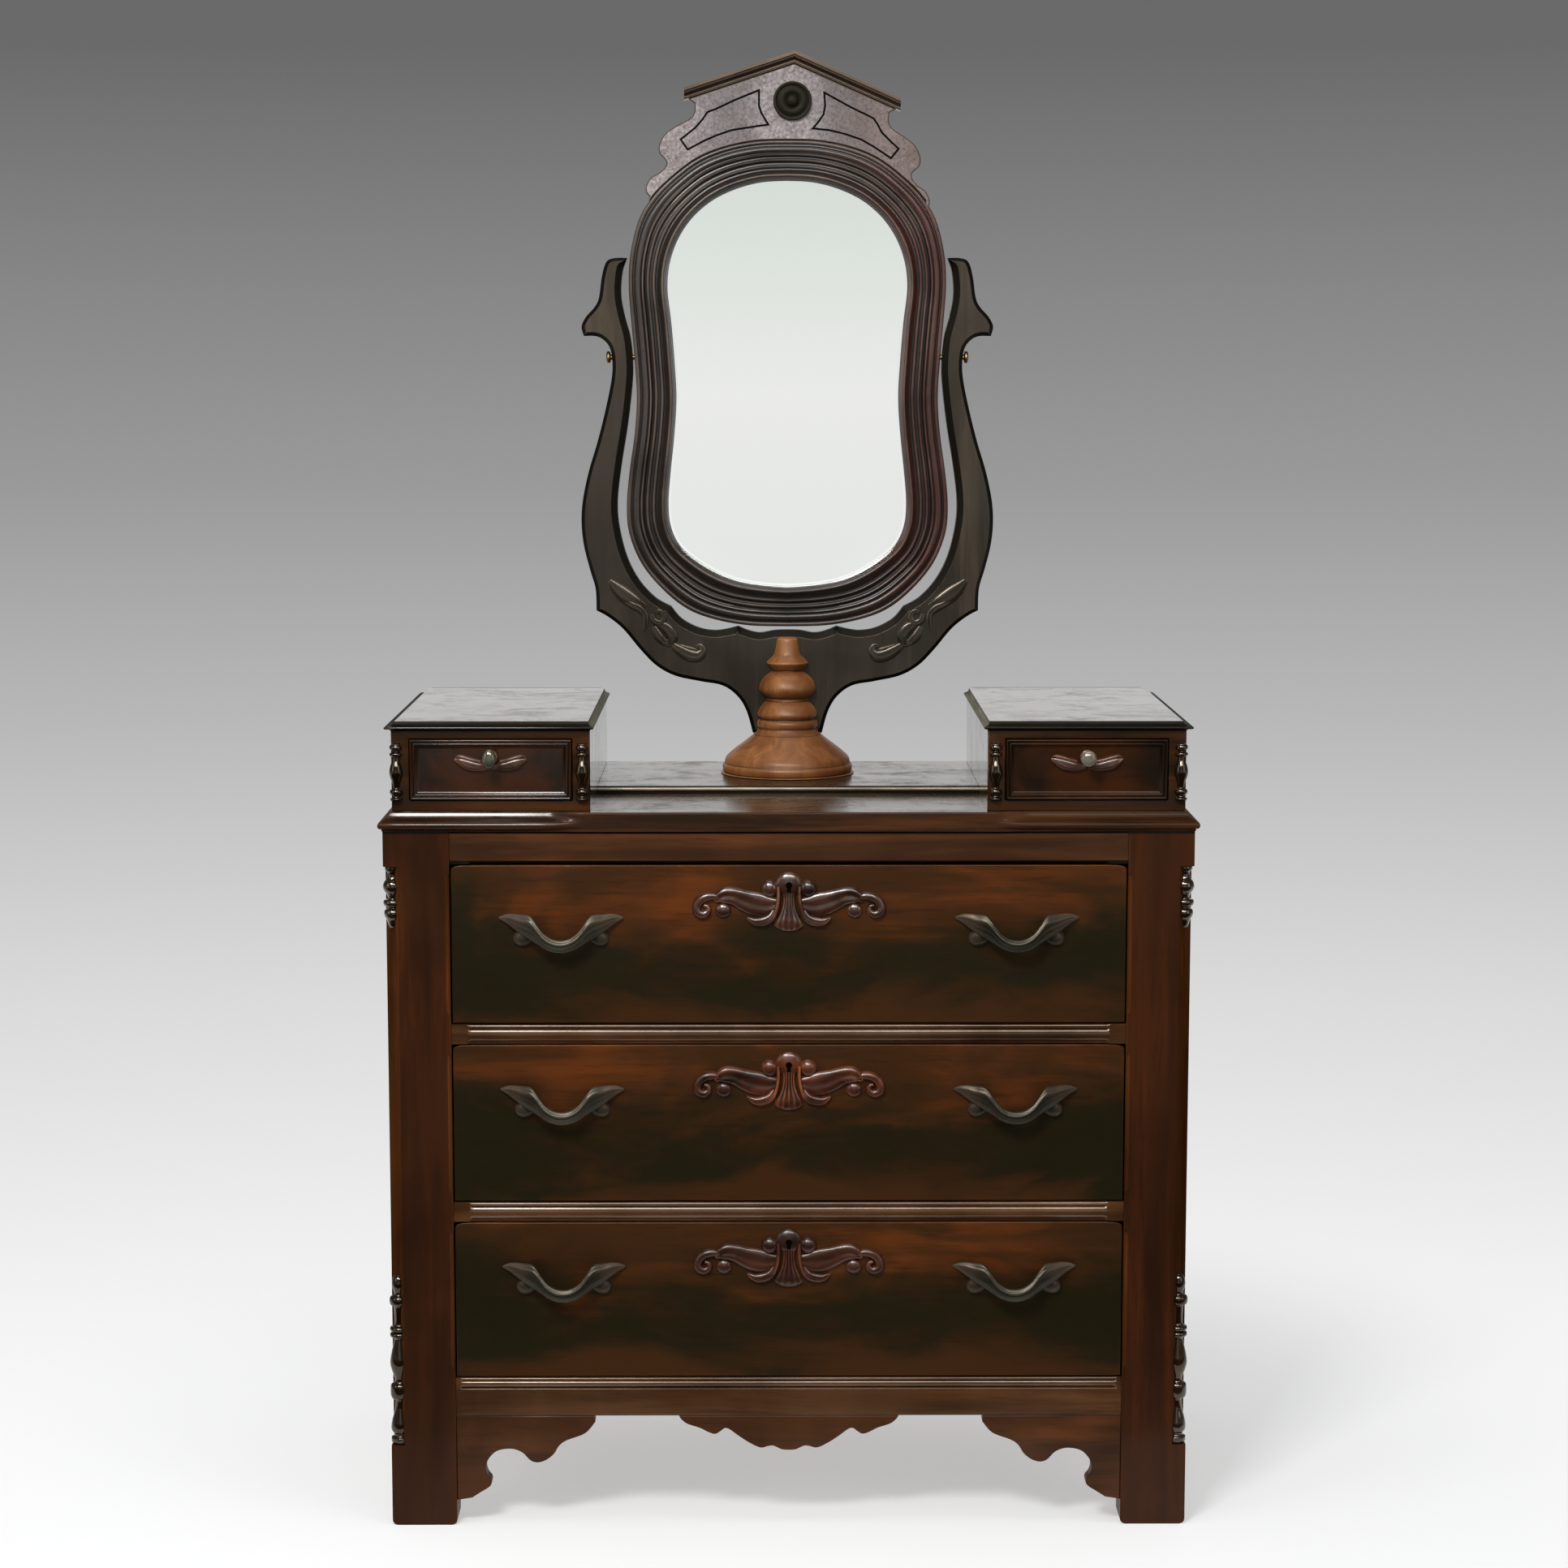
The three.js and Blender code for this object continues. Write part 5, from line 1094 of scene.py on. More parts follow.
class DRESSER_OT_posts(bpy.types.Operator):
    """Corner posts with stopped chamfers, split turnings and rounded feet"""

    bl_idname = "dresser.posts"
    bl_label = "Corner posts"

    def execute(self, context):
        for side, sign in SIDES.items():
            bm = bmesh.new()
            sweep(bm, [self.section(*level, sign) for level in self.levels()])
            bm.normal_update()
            for profile, floor, height in ((LOWER_TURNING, CHAMFER_FLOOR, LOWER_TURNING_HEIGHT),
                                           (UPPER_TURNING, UPPER_TURNING_FLOOR, UPPER_TURNING_HEIGHT)):
                place = at(sign * (HALF_CASE - POST_TURNING_IN), POST_TURNING_BACK, floor)
                split_turning(bm, profile, POST_TURNING_RADIUS, height, place, 32)
            for face in bm.faces:
                if face.material_index:
                    continue
                # Painted shadow: the post's top, under the case top's moulding, in near black
                if face.calc_center_median().z > SHADE_FLOOR * MM:
                    face.material_index = 3
                # The chamfers get the lighter copy of the post wood, as painted light
                elif 0.3 < abs(face.normal.x) < 0.97 and abs(face.normal.z) < 0.3:
                    face.material_index = 2
            shown(f"corner_post_{side}", bm, "post turned chamfer harp_edge", "case", "case_wood", worn=True)
        return {"FINISHED"}

    @staticmethod
    def levels():
        """(height, share of the chamfer, share of the inner arris, foot rounding) up the post."""
        rows = [(0, 0, 0, 6), (0.8, 0, 0, 3.2), (2.2, 0, 0, 1.4), (4, 0, 0, 0.4), (6, 0, 0, 0)]
        rows += [(CHAMFER_FLOOR - 1, 0, 0, 0), (CHAMFER_FLOOR, 0.06, 0, 0), (CHAMFER_FLOOR + 0.05, 1, 0, 0)]
        for number in reversed(DRAWERS):
            low = opening_floor(number) + 12
            high = low + OPENING_HEIGHT - 24
            rows += [(low, 1, 0, 0), (low + 2, 1, 0.6, 0), (low + 5, 1, 1, 0)]
            rows += [(high - 5, 1, 1, 0), (high - 2, 1, 0.6, 0), (high, 1, 0, 0)]
        rows += [(CHAMFER_TOP - 0.05, 1, 0, 0), (CHAMFER_TOP, 0.06, 0, 0), (CHAMFER_TOP + 1, 0, 0, 0)]
        return [*rows, (SHADE_FLOOR, 0, 0, 0), (TOP_BOARD_FLOOR - GAP, 0, 0, 0)]

    @staticmethod
    def section(z, chamfer, arris, foot, sign):
        front = 1.2 + 16.8 * chamfer
        side = 1.2 + 28.8 * chamfer
        inner = 0.9 + 4.1 * arris
        ease = 0.3 if chamfer < 0.5 else 0.5
        wide = POST_WIDTH - foot
        points = [
            (foot, side), (foot, POST_DEPTH), (wide, POST_DEPTH), (wide, inner), (wide - inner * 0.3, inner * 0.3),
            (wide - inner, 0), (foot + front, 0), (foot + front * ease, side * ease),
        ]
        return [at(sign * (HALF_CASE - x), y, z) for x, y in points]


class DRESSER_OT_rails(bpy.types.Operator):
    """Top rail, bottom rail and the two double-beaded dividers between the drawers"""

    bl_idname = "dresser.rails"
    bl_label = "Rails"

    def execute(self, context):
        radius = context.scene.dresser_sizes.bead / MM
        for level, number in (("upper", 1), ("middle", 2)):
            top = opening_floor(number)
            profile = self.beads(top, radius, DIVIDER_HEIGHT)
            self.moulded(f"divider_{level}", top, top - DIVIDER_HEIGHT, RAIL_BACK, profile, DIVIDER_STOP,
                         f"lock_bolt_{number + 1}")
        foot = [(0.6, -14.6), (0, -15.4), (0, FOOT_HEIGHT + 1 - LOWEST_OPENING), (1, FOOT_HEIGHT - LOWEST_OPENING)]
        profile = [*self.beads(LOWEST_OPENING, 1.6, 15)[:-3], *[(x, LOWEST_OPENING + z) for x, z in foot]]
        self.moulded("rail_bottom", LOWEST_OPENING, FOOT_HEIGHT, RAIL_BACK, profile, BOTTOM_RAIL_STOP)
        top = TOP_BOARD_FLOOR - GAP
        profile = [(0, top), (0, SHADE_FLOOR)]
        profile += [(x, TOP_RAIL_FLOOR + z) for x, z in ((0, 4.4), (0.3, 3.6), (3.8, 0.3), (4.2, 0))]
        self.moulded("rail_top", top, TOP_RAIL_FLOOR, TOP_RAIL_BACK, profile, TOP_RAIL_STOP, "lock_bolt_1")
        return {"FINISHED"}

    @staticmethod
    def beads(top, radius, height):
        """A bead over a rounded nose that turns under, as (depth, height) from the top down."""
        centre = top - radius - 0.4
        low = top - radius * 2 - 1.2
        fall = low - (top - height * 0.94)
        turn = [(3, 0), (1.3, 0.14), (0.35, 0.34), (0, 0.56), (0.3, 0.76), (1.3, 0.95), (2.7, 1.1), (4, 1.2),
                (4.5, 1.28)]
        nose = [(depth, low - share / 1.28 * fall) for depth, share in curve(turn, 2)]
        return [(1.2, top), *bead(centre, radius), (radius + 0.7, centre - radius - 0.2), *nose, (4.5, top - height)]

    @staticmethod
    def moulded(node, top, bottom, back, profile, stop, bolt=None):
        bm = bmesh.new()
        rail(bm, top, bottom, back, profile, stop)
        bmesh.ops.recalc_face_normals(bm, faces=bm.faces)
        if bolt:
            bolt_socket(bm, bolt)
        highest = node == "rail_top"
        # Painted shade on the top rail: near black under the case top and on its lower chamfer
        for face in bm.faces:
            plain = bottom + 4 < face.calc_center_median().z / MM < SHADE_FLOOR
            face.material_index = int(highest and not plain)
        finishes = "frieze harp_edge" if highest else "moulded harp_edge"
        shown(node, bm, finishes, "case", "case_wood", 60)


class DRESSER_OT_apron(bpy.types.Operator):
    """Scrolled brackets and pendant under the bottom rail, cut from boards"""

    bl_idname = "dresser.apron"
    bl_label = "Apron"

    def execute(self, context):
        edge = curve(scaled(BRACKET[1:-1], BRACKET_WIDTH, BRACKET_DROP), 4)
        bracket = [(GAP, 0), (BRACKET_WIDTH, 0), *edge, (GAP, -BRACKET_DROP)]
        half = curve(scaled(PENDANT, PENDANT_HALF, PENDANT_DROP), 4)
        shapes = {}
        for side, sign in SIDES.items():
            shapes[f"bracket_{side}"] = [(sign * (OPENING_HALF - x), z) for x, z in bracket]
        shapes["apron_pendant"] = [*half, *mirrored(half[:-1])]
        for node, outline in shapes.items():
            bm = bmesh.new()
            board(bm, [(x, FOOT_HEIGHT - GAP + z) for x, z in outline], RAIL_FRONT, RAIL_FRONT + APRON_THICKNESS)
            shown(node, bm, "apron", "case", "case_wood")
        return {"FINISHED"}


class DRESSER_OT_tops(bpy.types.Operator):
    """The case top, whose edge dies out across the well, the deck, and the boards over the small boxes"""

    bl_idname = "dresser.tops"
    bl_label = "Top boards"

    def execute(self, context):
        bm = bmesh.new()
        self.case_top(bm)
        self.flats(bm)
        shown("case_top", bm, "nose deck", "case", "case_wood", 40)
        self.deck()
        for side, sign in SIDES.items():
            bm = bmesh.new()
            self.box_top(bm, sign)
            bmesh.ops.bisect_plane(bm, geom=[*bm.verts, *bm.edges, *bm.faces], plane_co=at(0, BOX_BACK - 5, 0),
                                   plane_no=(0, 1, 0))
            self.flats(bm)
            edge = (BOX_WIDTH / 2 - 3.8) * MM
            for face in bm.faces:
                x, y, z = face.calc_center_median() - at(sign * BOX_MIDDLE, BOX_BACK - 5, 0)
                if x * sign < -edge or (y > 0 and face.normal.z > 0.9):
                    face.material_index = 3
                # The outer end gets painted shade, near black
                elif x * sign > edge:
                    face.material_index = 2
            shown(f"glove_top_{side}", bm, "box_nose top harp_edge end", "case", "case_wood", 40)
        return {"FINISHED"}

    @staticmethod
    def case_top(bm):
        fades = [(-WELL_HALF + FADE * k / 10, 0, 0, -1, 0.5 + 0.5 * math.cos(math.pi * k / 10)) for k in range(11)]
        plan = [(-HALF_CASE, 0, -1, -1, 1), *fades, *mirrored(fades), (HALF_CASE, 0, 1, -1, 1),
                (HALF_CASE, CASE_DEPTH, 1, 0, 1), (-HALF_CASE, CASE_DEPTH, -1, 0, 1)]
        rings = []
        for out, up in EDGE:
            ring = []
            for x, y, side, front, share in plan:
                reach = out * TOP_EDGE_REACH * share + (2 - 1.2 * max(up - 0.93, 0) / 0.07) * (1 - share)
                ring.append(at(x + side * reach, y + front * reach, TOP_BOARD_FLOOR - 3 + up * TOP_EDGE_HEIGHT))
            rings.append(ring)
        sweep(bm, rings)

    @staticmethod
    def deck():
        """The deck behind the well, with a bead under its front edge, which has a painted highlight, and painted
        shade on the rest of the front.
        """
        (left, front, floor), (right, back, top) = solid_box("well_deck")
        profile = [(2.8, top), (2.5, top - 0.5), (2.5, top - 1.8), *bead(top - 4, 2), (2.4, top - 6.2), (2.4, floor)]
        section = [(back, top), (back, floor), *[(front + depth, height) for depth, height in reversed(profile)]]
        bm = bmesh.new()
        sweep(bm, [[at(x, y, z) for y, z in section] for x in (left, right)])
        for face in bm.faces:
            centre = face.calc_center_median()
            if centre.y < at(0, front + 4, 0).y:
                # Painted highlight on the bead, painted shade on the rest of the front edge
                face.material_index = 1 if top - 6.2 < centre.z / MM < top - 1.9 else 2
        shown("well_deck", bm, "deck bead harp_edge", "case", "case_wood", 40)

    @staticmethod
    def flats(bm):
        """Gives the flat top its own finish."""
        bm.normal_update()
        highest = max(vert.co.z for vert in bm.verts)
        for face in bm.faces:
            if face.normal.z > 0.9 and face.calc_center_median().z > highest - 0.8 * MM:
                face.material_index = 1

    @staticmethod
    def box_top(bm, sign):
        half = BOX_WIDTH / 2
        plan = [(-half, BOX_FRONT, -1, -1), (half, BOX_FRONT, 1, -1)]
        for side, turns in ((1, range(7)), (-1, range(6, -1, -1))):
            for angle in (math.pi / 2 * k / 6 for k in turns):
                out = side * math.cos(angle)
                plan.append((side * (half - BOX_CORNER) + out * BOX_CORNER,
                             BOX_BACK - BOX_CORNER + math.sin(angle) * BOX_CORNER, out, 0))
        rings = []
        for out, up in EDGE:
            reach = out * (BOX_TOP_REACH if out > 0 else 2)
            ring = []
            for x, y, side, front in plan:
                across = side * reach * (0.6 if side * sign < 0 else 1)
                height = BOX_TOP_FLOOR + up * BOX_TOP_HEIGHT
                ring.append(at(sign * BOX_MIDDLE + x + across, y + front * reach, height))
            rings.append(ring)
        # The cove over the bead and the underside get painted shade; the bead keeps the glossy finish
        sweep(bm, rings, marks=[2 * (up >= 0.5 or up <= 0.13) for out, up in EDGE])


class DRESSER_OT_boxes(bpy.types.Operator):
    """Both small boxes; each drawer front, leaf and knob slides with its own drawer"""

    bl_idname = "dresser.boxes"
    bl_label = "Small boxes"

    def execute(self, context):
        for side, sign in SIDES.items():
            middle = sign * BOX_MIDDLE
            body = f"glove_{side}"
            bm = bmesh.new()
            self.shell(bm, middle)
            for face in bm.faces:
                inward = abs(face.calc_center_median().x) < (BOX_MIDDLE - BOX_OPENING / 2) * MM
                if inward and abs(face.normal.x) > 0.9 and face.calc_area() > 0.01:
                    face.material_index = 2
            for inset in (-sign * (BOX_WIDTH / 2 - 10), sign * (BOX_WIDTH / 2 - 6)):
                place = at(middle + inset, BOX_FRONT, OPENING_LOW)
                split_turning(bm, BOX_TURNING, BOX_TURNING_RADIUS, BOX_TURNING_HEIGHT, place, 28)
            shown(f"glove_case_{side}", bm, "case_x turned side", "case", "case_wood", worn=True)
            bm = bmesh.new()
            self.front(bm, middle)
            bm.normal_update()
            for face in bm.faces:
                # The upright sides of the moulding get the darker copy, as painted shade
                face.material_index = int(abs(face.normal.x) > 0.2)
            shown(f"glove_front_{side}", bm, "box panel_end", body, "case_wood", 60)
            softened(f"glove_drawer_{side}", "inner_y", body, 0.6)
            self.leaf(side, middle, body)
            bm = bmesh.new()
            wide, high = KNOB_SIZES[side]
            size = Matrix.Diagonal((wide / 2, high / 2, KNOB_LENGTH, 1))
            turned(bm, curve(KNOB, 3), at(middle, BOX_FRONT - 6.6, KNOB_MIDDLE), 36, FORWARDS @ size)
            shown(f"knob_{side}", bm, f"knob_{side}", body, "carved_wood", worn=True)
        return {"FINISHED"}

    @staticmethod
    def shell(bm, middle):
        """The hollow box, drawn out of the back of its own opening."""
        half = BOX_OPENING / 2
        high = OPENING_LOW + BOX_OPENING_HEIGHT
        outer = BOX_WIDTH / 2
        steps = [(half, OPENING_LOW, high, BOX_BACK - 12), (half, OPENING_LOW, high, BOX_FRONT + 0.8),
                 (half + 0.8, OPENING_LOW - 0.8, high + 0.8, BOX_FRONT)]
        for inset, rise, y in ((1.2, 0.6, BOX_FRONT), (0.35, 0.2, BOX_FRONT + 0.35), (0, 0, BOX_FRONT + 1.2),
                               (0, 0, BOX_BACK - 1), (1, 0.5, BOX_BACK)):
            steps.append((outer - inset, BOX_FLOOR + rise, BOX_FLOOR + BOX_HEIGHT - rise, y))
        sweep(bm, [[at(middle + x, y, z) for x, z in oblong(wide, low, top)] for wide, low, top, y in steps])

    @staticmethod
    def front(bm, middle):
        """A sunk panel in a mitred moulding."""
        half = BOX_OPENING / 2 - 0.8
        low = OPENING_LOW + 0.8
        high = OPENING_LOW + BOX_OPENING_HEIGHT - 0.8
        profile = [(0, 1.4), (0.25, 2.6), (0.8, 3.6), (1.7, 4), (2.7, 3.7), (3.4, 3), (3.8, 1.9), (4.3, 1.8),
                   (4.7, 2.6), (5.4, 3.2), (6.3, 3.2), (7.2, 2.7), (7.7, 1.7), (8.2, 1.4), (9, 0.7), (10, 0.15),
                   (10.6, 0)]
        sweep(bm, [[at(middle + x, BOX_FRONT - proud, z) for x, z in oblong(half - inset, low + inset, high - inset)]
                   for inset, proud in ((0, -18), *curve(profile, 2), (13, 0))])

    @staticmethod
    def leaf(side, middle, body):
        """Two curled leaves run out from a boss, which carries the knob."""
        place = at(middle, BOX_FRONT - GAP, LEAF_MIDDLE)
        bm = bmesh.new()
        for path in (
            [(2, -4.5, 3, 0.5), (11, -4.5, 5.8, 0.9), (21, -3, 7.2, 1), (30, -0.6, 7.4, 1), (38, 3, 5, 0.9),
             (44.5, 5.4, 1.6, 0.5)],
            [(12, 2, 2.2, 0.9), (22, 4.2, 2.8, 1.05), (32, 7.4, 2.6, 1.05), (39, 9, 1.8, 0.9), (43, 7.6, 1, 0.6)],
        ):
            both_strokes(bm, path, place, 6.5, 14, 0.12)
        boss = [(0, -0.3), (9, -0.3), (9, 4.6), (8.4, 5.6), (7, 6), (0, 6)]
        turned(bm, boss, place + Vector((0, 0, 8 * MM)), 32, FORWARDS)
        shown(f"leaf_{side}", bm, "carved_1", body, "carved_wood", worn=True)


class DRESSER_OT_drawers(bpy.types.Operator):
    """The three long drawers: front, box, lock and bolt"""

    bl_idname = "dresser.drawers"
    bl_label = "Long drawers"

    def execute(self, context):
        for number in DRAWERS:
            body = f"drawer_{number}"
            self.front(f"drawer_front_{number}", body)
            softened(f"drawer_box_{number}", "inner_y", body, 0.8)
            softened(f"lock_{number}", "brass", body, 0.4)
            softened(f"lock_bolt_{number}", "brass", f"bolt_{number}", 0.4)
        return {"FINISHED"}

    @staticmethod
    def front(node, body):
        """A plain front with its two upper corners rounded off."""
        (_, front, floor), (half, back, top) = solid_box(node)
        angles = [math.pi / 2 * k / 6 for k in range(7)]
        corner = [(half - 15 + 15 * math.cos(angle), top - 6 + 6 * math.sin(angle)) for angle in angles]
        bm = bmesh.new()
        board(bm, [(-half, floor), (half, floor), *corner, *mirrored(corner)], front, back)
        shown(node, bm, "drawer", body, "drawer_wood")


class DRESSER_OT_pulls(bpy.types.Operator):
    """Carved pulls: a fluted grip that hangs between two leaves, on a rounded lobe behind each leaf"""

    bl_idname = "dresser.pulls"
    bl_label = "Carved pulls"

    def execute(self, context):
        for number, drop in zip(DRAWERS, PULL_DROPS):
            height = opening_floor(number) + OPENING_HEIGHT - drop
            for side, sign in SIDES.items():
                place = at(sign * PULL_PLACE, DRAWER_FACE, height)
                bm = bmesh.new()
                self.grip(bm, place)
                for half in (-1, 1):
                    ball(bm, place + Vector((half * 46, 0, -24)) * MM, (14.5, 9, 11.5), half * 0.5)
                cut_back(bm, place)
                shown(f"pull_{number}_{side}", bm, "pull", f"drawer_{number}", "dark_wood", worn=True)
        return {"FINISHED"}

    @staticmethod
    def grip(bm, place):
        """Rings along the grip: place, half height and half thickness, with flutes that run its length."""
        half = [
            (-77, 0, 1.2, -2.2, 1), (-69, -0.5, 5, -3.6, 3), (-60, -3.2, 9, -5.5, 5), (-51, -6.6, 12, -8, 6.4),
            (-43, -9, 14.4, -11, 6.8), (-37, -11.4, 15.2, -13.4, 6.8), (-32, -15.4, 14, -15.6, 6.6),
            (-27, -20.4, 11.8, -17.6, 6.4), (-20, -26.6, 9.6, -20.2, 6.2), (-10, -31.6, 8.2, -22.1, 5.5),
            (0, -33, 7.8, -22.8, 5.2),
        ]
        rings = []
        for x, z, tall, forward, thick in curve([*half, *mirrored(half[:-1])], 4):
            ring = []
            for angle in (math.tau * k / 40 for k in range(40)):
                flute = 1 - 0.12 * max(0, math.cos(8 * angle)) * max(0, -math.sin(angle))
                ring.append(place + MM * Vector((
                    x, forward + math.sin(angle) * thick * flute, z + math.cos(angle) * tall * flute)))
            rings.append(ring)
        sweep(bm, rings)


class DRESSER_OT_keyholes(bpy.types.Operator):
    """Carved plates: a hood and a ribbed drop round the keyhole, with leaves that curl away to each side"""

    bl_idname = "dresser.keyholes"
    bl_label = "Keyhole plates"

    def execute(self, context):
        rise = context.scene.dresser_sizes.carving / MM
        for number in DRAWERS:
            place = at(0, DRAWER_FACE, opening_floor(number) + OPENING_HEIGHT - KEYHOLE_PLATE_DROP)
            body = f"drawer_{number}"
            bm = bmesh.new()
            for path, vein in KEYHOLE_LEAVES:
                both_strokes(bm, path, place, rise, 20, vein)
            for sign in (-1, 1):
                ball(bm, place + Vector((sign * 24, 0, -4.5)) * MM, (11, 7.9, 11))
                ball(bm, place + Vector((sign * 81.5, 0, -32)) * MM, (10, 6, 9.6))
            ball(bm, place + Vector((0, 0, 0.5)) * MM, (16.5, 6, 15.5))
            stroke(bm, KEYHOLE_DROP, place, rise, 24, 0, 5)
            cut_back(bm, place)
            shown(f"escutcheon_{number}", bm, f"carved_{number}", body, "carved_wood", worn=True)
            bm = bmesh.new()
            turned(bm, [(0, 2), (4, 2), (4, 6.4), (0, 6.4)], place, 20, FORWARDS)
            slit = Matrix.Translation(place + Vector((0, -3.9, -4)) * MM)
            bmesh.ops.create_cube(bm, size=1, matrix=slit @ Matrix.Diagonal((4.4 * MM, 4.8 * MM, 9 * MM, 1)))
            finished(f"keyhole_{number}", bm, "shade", body, "carved_wood")
        return {"FINISHED"}


class DRESSER_OT_stand(bpy.types.Operator):
    """The turned pedestal, halved above its foot, the chamfered wishbone with its carving, and the pivot screws"""

    bl_idname = "dresser.stand"
    bl_label = "Mirror stand"

    def execute(self, context):
        bm = bmesh.new()
        centre = at(0, STAND_Y, STAND_FLOOR)
        foot, stem = (curve(scaled(part, STAND_RADIUS, STAND_HEIGHT), 2) for part in (STAND_FOOT, STAND_STEM))
        turned(bm, [*foot, (0, 51.8)], centre, 72)
        turned(bm, [(0, 52), *stem], centre, 40, None, math.pi)
        shown("pedestal", bm, "stand", "case", "pedestal_wood", 40, worn=True)
        self.harp(context.scene.dresser_sizes.chamfer / MM)
        bm = bmesh.new()
        for path in HARP_LEAVES:
            wider = [(x, z, half * 1.3, up) for x, z, half, up in path]
            both_strokes(bm, wider, at(0, HARP_FRONT, 0), 4.2, 12, 0.2)
        finished("harp_leaves", bm, "leafage", "case", "dark_wood", 30, worn=True)
        for side, sign in SIDES.items():
            bm = bmesh.new()
            turned(bm, SCREW, at(0, PIVOT_Y, PIVOT_Z), 28, Matrix.Rotation(sign * math.pi / 2, 4, "Y"))
            shown(f"pivot_screw_{side}", bm, "brass", "case", "brass")
        return {"FINISHED"}

    @staticmethod
    def harp(chamfer):
        inner = joined(HARP_INNER, HARP_HALF, HARP_HEIGHT)
        side = joined((HARP_TIP, HARP_ARM, HARP_FOOT), HARP_HALF, HARP_HEIGHT)
        right = [*inner, *side, (HARP_FOOT[-1][0] * HARP_HALF, 0)]
        outline = [*right, *mirrored(right[1:])]
        count = len(inner)
        narrow = drawn_in(outline, chamfer)
        broad = drawn_in(outline, chamfer * 1.8)
        inset = [broad[i] if i < count or i > len(outline) - count else narrow[i] for i in range(len(outline))]
        rings = []
        for share, y in ((1, HARP_THICKNESS), (0, HARP_THICKNESS - chamfer), (0, chamfer), (0.92, 0.2), (1, 0)):
            rings.append([at(x + (near_x - x) * share, HARP_FRONT + y, HARP_FLOOR + z + (near_z - z) * share)
                          for (x, z), (near_x, near_z) in zip(outline, inset)])
        bm = bmesh.new()
        # The harp's chamfers and edges get painted shade, near black
        sweep(bm, rings, marks=[1, 1, 1, 0])
        shown("harp", bm, "harp harp_edge", "case", "dark_wood", 30)


class DRESSER_OT_mirror(bpy.types.Operator):
    """The mirror's frame, one reeded section run round the waisted outline, with the glass and its backboard"""

    bl_idname = "dresser.mirror"
    bl_label = "Mirror"

    def execute(self, context):
        loops = []
        for shares in (FRAME_OUTER, FRAME_OPENING):
            right = curve(scaled(shares, FRAME_HALF, FRAME_HEIGHT), 5)
            loops.append([(x, FRAME_FLOOR + z) for x, z in (*right, *mirrored(right[1:-1]))])
        pairs = list(zip(*loops))
        bm = bmesh.new()
        sweep(bm, [[at(a + (c - a) * across, FRAME_BACK - forward * FRAME_DEPTH, b + (d - b) * across)
                    for across, forward in FRAME_SECTION] for (a, b), (c, d) in pairs], closed=True)
        shown("mirror_frame", bm, "frame", "mirror", "frame_wood", 40, worn=True)
        rings = []
        for share, inset, y in ((0.86, 0, 4), (0.86, 0, 0.1), (1, 3.4, 0)):
            pane = [(a + (c - a) * share, b + (d - b) * share) for (a, b), (c, d) in pairs]
            rings.append([at(x, GLASS_FRONT + y, z) for x, z in drawn_in(pane, inset)])
        bm = bmesh.new()
        sweep(bm, rings, marks=[0, 1])
        shown("mirror_glass", bm, "silver bevel", "mirror", "mirror", 0.5, weighted=False)
        softened("mirror_back", "inner_z", "mirror", 0.6)
        return {"FINISHED"}


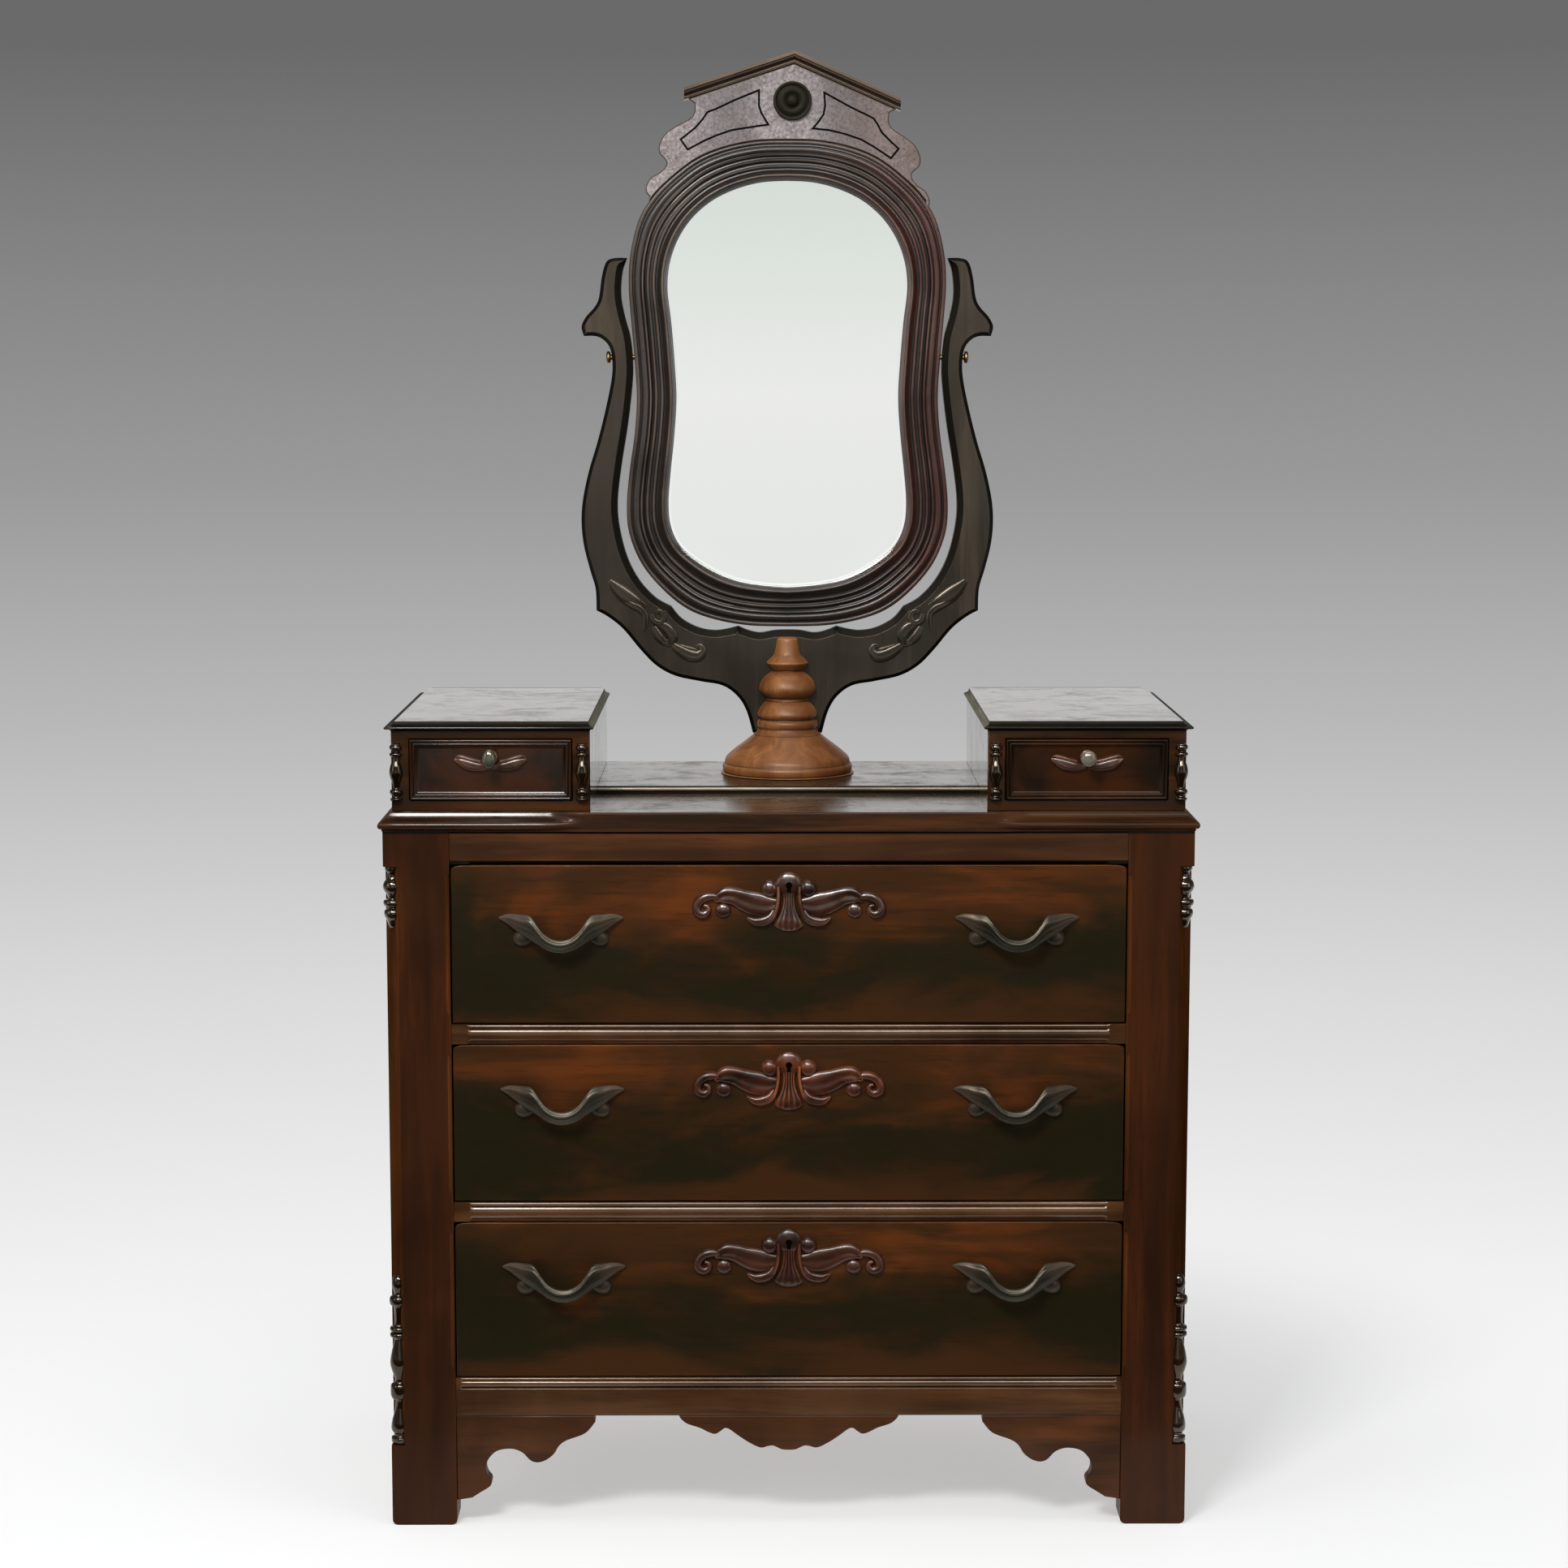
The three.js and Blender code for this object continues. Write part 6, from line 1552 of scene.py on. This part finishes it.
class DRESSER_OT_crest(bpy.types.Operator):
    """The leaning crest: board, cut panel lines, raking cornice and rosette"""

    bl_idname = "dresser.crest"
    bl_label = "Crest"

    def execute(self, context):
        turn = Matrix.Rotation(CREST_LEAN, 4, "Y")
        origin = at(0, CREST_FRONT, CREST_FLOOR)

        def lean(x, y, z):
            return origin + turn @ (Vector((x, y, z)) * MM)

        eave = CREST_HEIGHT - CORNICE_RISE * CREST_SHOULDER / CORNICE_HALF
        side = [*curve(scaled(CREST_SIDE, CREST_HALF, CREST_HEIGHT), 4), (CREST_SHOULDER, eave)]
        bm = bmesh.new()
        outline = [*self.lower_edge(), *side, (0, CREST_HEIGHT), *mirrored(side)]
        board(bm, outline, 0, CREST_THICKNESS, lean, [1, 1, 1])
        shown("crest_board", bm, "crest crest_edge", "mirror", "crest_wood", 40)
        self.lines()
        rows = []
        for sign in (-1, 0, 1):
            ridge = CREST_HEIGHT - CORNICE_RISE * abs(sign) + GAP
            rows.append([lean(CORNICE_HALF * sign, CREST_THICKNESS - forward * CORNICE_DEPTH,
                              ridge + up * CORNICE_THICKNESS) for forward, up in CORNICE])
        bm = bmesh.new()
        sweep(bm, rows)
        shown("crest_cornice", bm, "cornice", "mirror", "frame_wood", 35, worn=True)
        bm = bmesh.new()
        profile = [(0, 0), *scaled(ROSETTE, ROSETTE_RADIUS, ROSETTE_DEPTH)]
        turned(bm, profile, lean(0, -GAP, ROSETTE_MIDDLE), 48, turn @ FORWARDS)
        shown("rosette", bm, "rosette", "mirror", "dark_wood", 30, worn=True)
        return {"FINISHED"}

    @staticmethod
    def lower_edge():
        """The board's lower edge, a hair clear of the frame's outer edge, from left to right."""
        outer = curve(scaled(FRAME_OUTER, FRAME_HALF, FRAME_HEIGHT), 5)
        points = []
        for x, z in (*mirrored(outer), *outer[1:]):
            near = Vector((x * 1.0014, z + GAP + FRAME_FLOOR - CREST_FLOOR))
            near = Matrix.Rotation(CREST_LEAN, 2) @ near
            if abs(near.x) < 181 and near.y > -6:
                points.append((near.x, near.y))
        return points

    @staticmethod
    def lines():
        """Two panels drawn with a thin cut line."""
        bm = bmesh.new()
        for panel in CREST_PANELS:
            rings = []
            for (a, b), (c, d) in zip(drawn_in(panel, -LINE_HALF), drawn_in(panel, LINE_HALF)):
                rings.append([at(x, CREST_FRONT + y, z) for x, y, z in (
                    (a, -0.12, b), (a, 0.5, b), (c, 0.5, d), (c, -0.12, d))])
            sweep(bm, rings, closed=True)
        finished("crest_lines", bm, "line", "mirror", "crest_wood")


class DRESSER_OT_stage(bpy.types.Operator):
    """A pale floor that fades into the background, soft lamps, surroundings and the camera"""

    bl_idname = "dresser.stage"
    bl_label = "Stage"

    def execute(self, context):
        scene = context.scene
        scene.view_settings.view_transform = "Standard"
        self.floor(scene.dresser_colours.backdrop)
        self.flag()
        self.surroundings(scene)
        self.lamps()
        data = bpy.data.cameras.new("camera")
        data.sensor_width = 36
        data.sensor_fit = "HORIZONTAL"
        data.lens = 36 * CAMERA_REACH / CAMERA_WIDTH
        data.clip_end = 60
        camera = linked("camera", data)
        camera.location = at(*CAMERA_PLACE)
        camera.rotation_euler = (CAMERA_TILT, 0, CAMERA_TURN)
        scene.camera = camera
        return {"FINISHED"}

    @staticmethod
    def floor(backdrop):
        finish = Finish("floor", Base_Color=(*backdrop, 1.0), Roughness=0.9, Specular_IOR_Level=0.0)
        across, along, up = finish.parts(finish.place())
        reach = (across * across + along * along) ** 0.5
        pale = finish.node("ShaderNodeEmission", inputs={0: (253, 253, 252), 1: 1.1})
        lit = finish.blend(finish.seen() * 0.4, Wire(finish, finish.surface.outputs[0]), pale)
        finish.faded(reach.clear(0.75, 1.5), lit)
        bm = bmesh.new()
        bmesh.ops.create_circle(bm, cap_ends=True, segments=96, radius=3.2)
        linked("floor", mesh_of(bm, "floor", [finish]))

    @staticmethod
    def flag():
        """A black flag low in front, which only soft gloss sees, so that the polish keeps its depth."""
        finish = Finish("flag", Base_Color=(8, 8, 8), Roughness=1.0, Specular_IOR_Level=0.0)
        finish.faded(finish.node("ShaderNodeLightPath", output="Is Singular Ray"))
        bm = bmesh.new()
        bmesh.ops.create_grid(bm, x_segments=1, y_segments=1, size=1,
                              matrix=Matrix.Translation((0, -4.45, 0.02)) @ Matrix.Diagonal((4, 3.95, 1, 1)))
        flag = linked("flag", mesh_of(bm, "flag", [finish]))
        for kind in ("camera", "diffuse", "transmission", "shadow", "volume_scatter"):
            setattr(flag, f"visible_{kind}", False)

    @staticmethod
    def surroundings(scene):
        """A grey that grows paler downwards for what the camera and the gloss see, and a soft fill light."""
        world = bpy.data.worlds.new("surroundings")
        world.use_nodes = True
        world.node_tree.nodes.clear()
        sky = Nodes(world.node_tree)
        height = sky.parts(sky.place("Generated"))[2]
        stops = [(0.5 + sine, (grey, grey, grey)) for sine, grey in SKY_GREYS]
        shade = sky.node("ShaderNodeValToRGB", {"stops": stops}, {0: height + 0.5})
        fill = sky.node("ShaderNodeBackground", inputs={0: (0.95, 0.97, 1.0, 1.0), 1: 0.3})
        background = sky.node("ShaderNodeBackground", inputs={0: shade})
        sky.node("ShaderNodeOutputWorld", inputs={0: sky.blend(sky.seen(), fill, background)}, output=None)
        scene.world = world

    @staticmethod
    def lamps():
        for name, place, aim, width, height, watts in LAMPS:
            data = bpy.data.lights.new(name, "AREA")
            data.shape = "RECTANGLE"
            data.size = width
            data.size_y = height
            data.energy = watts
            lamp = linked(name, data)
            lamp.location = at(*place)
            lamp.rotation_euler = (at(*aim) - lamp.location).to_track_quat("-Z", "Y").to_euler()
            lamp.visible_camera = False
            lamp.visible_diffuse = name != "strip"


class DRESSER_PT_panel(bpy.types.Panel):
    bl_label = "Dresser"
    bl_idname = "DRESSER_PT_panel"
    bl_space_type = "VIEW_3D"
    bl_region_type = "UI"
    bl_category = "Dresser"

    def draw(self, context):
        for group in (context.scene.dresser_sizes, context.scene.dresser_colours):
            for key in group.__annotations__:
                self.layout.prop(group, key)
        for operator in OPERATORS:
            self.layout.operator(operator.bl_idname)


OPERATORS = (
    DRESSER_OT_case, DRESSER_OT_posts, DRESSER_OT_rails, DRESSER_OT_apron, DRESSER_OT_tops, DRESSER_OT_boxes,
    DRESSER_OT_drawers, DRESSER_OT_pulls, DRESSER_OT_keyholes, DRESSER_OT_stand, DRESSER_OT_mirror,
    DRESSER_OT_crest, DRESSER_OT_stage,
)
CLASSES = (DresserSizes, DresserColours, *OPERATORS, DRESSER_PT_panel)


def register():
    for kind in CLASSES:
        bpy.utils.register_class(kind)
    bpy.types.Scene.dresser_sizes = PointerProperty(type=DresserSizes)
    bpy.types.Scene.dresser_colours = PointerProperty(type=DresserColours)


def unregister():
    del bpy.types.Scene.dresser_colours
    del bpy.types.Scene.dresser_sizes
    for kind in reversed(CLASSES):
        bpy.utils.unregister_class(kind)


def main():
    register()
    for operator in OPERATORS:
        group, name = operator.bl_idname.split(".")
        getattr(getattr(bpy.ops, group), name)()


if __name__ == "__main__":
    main()
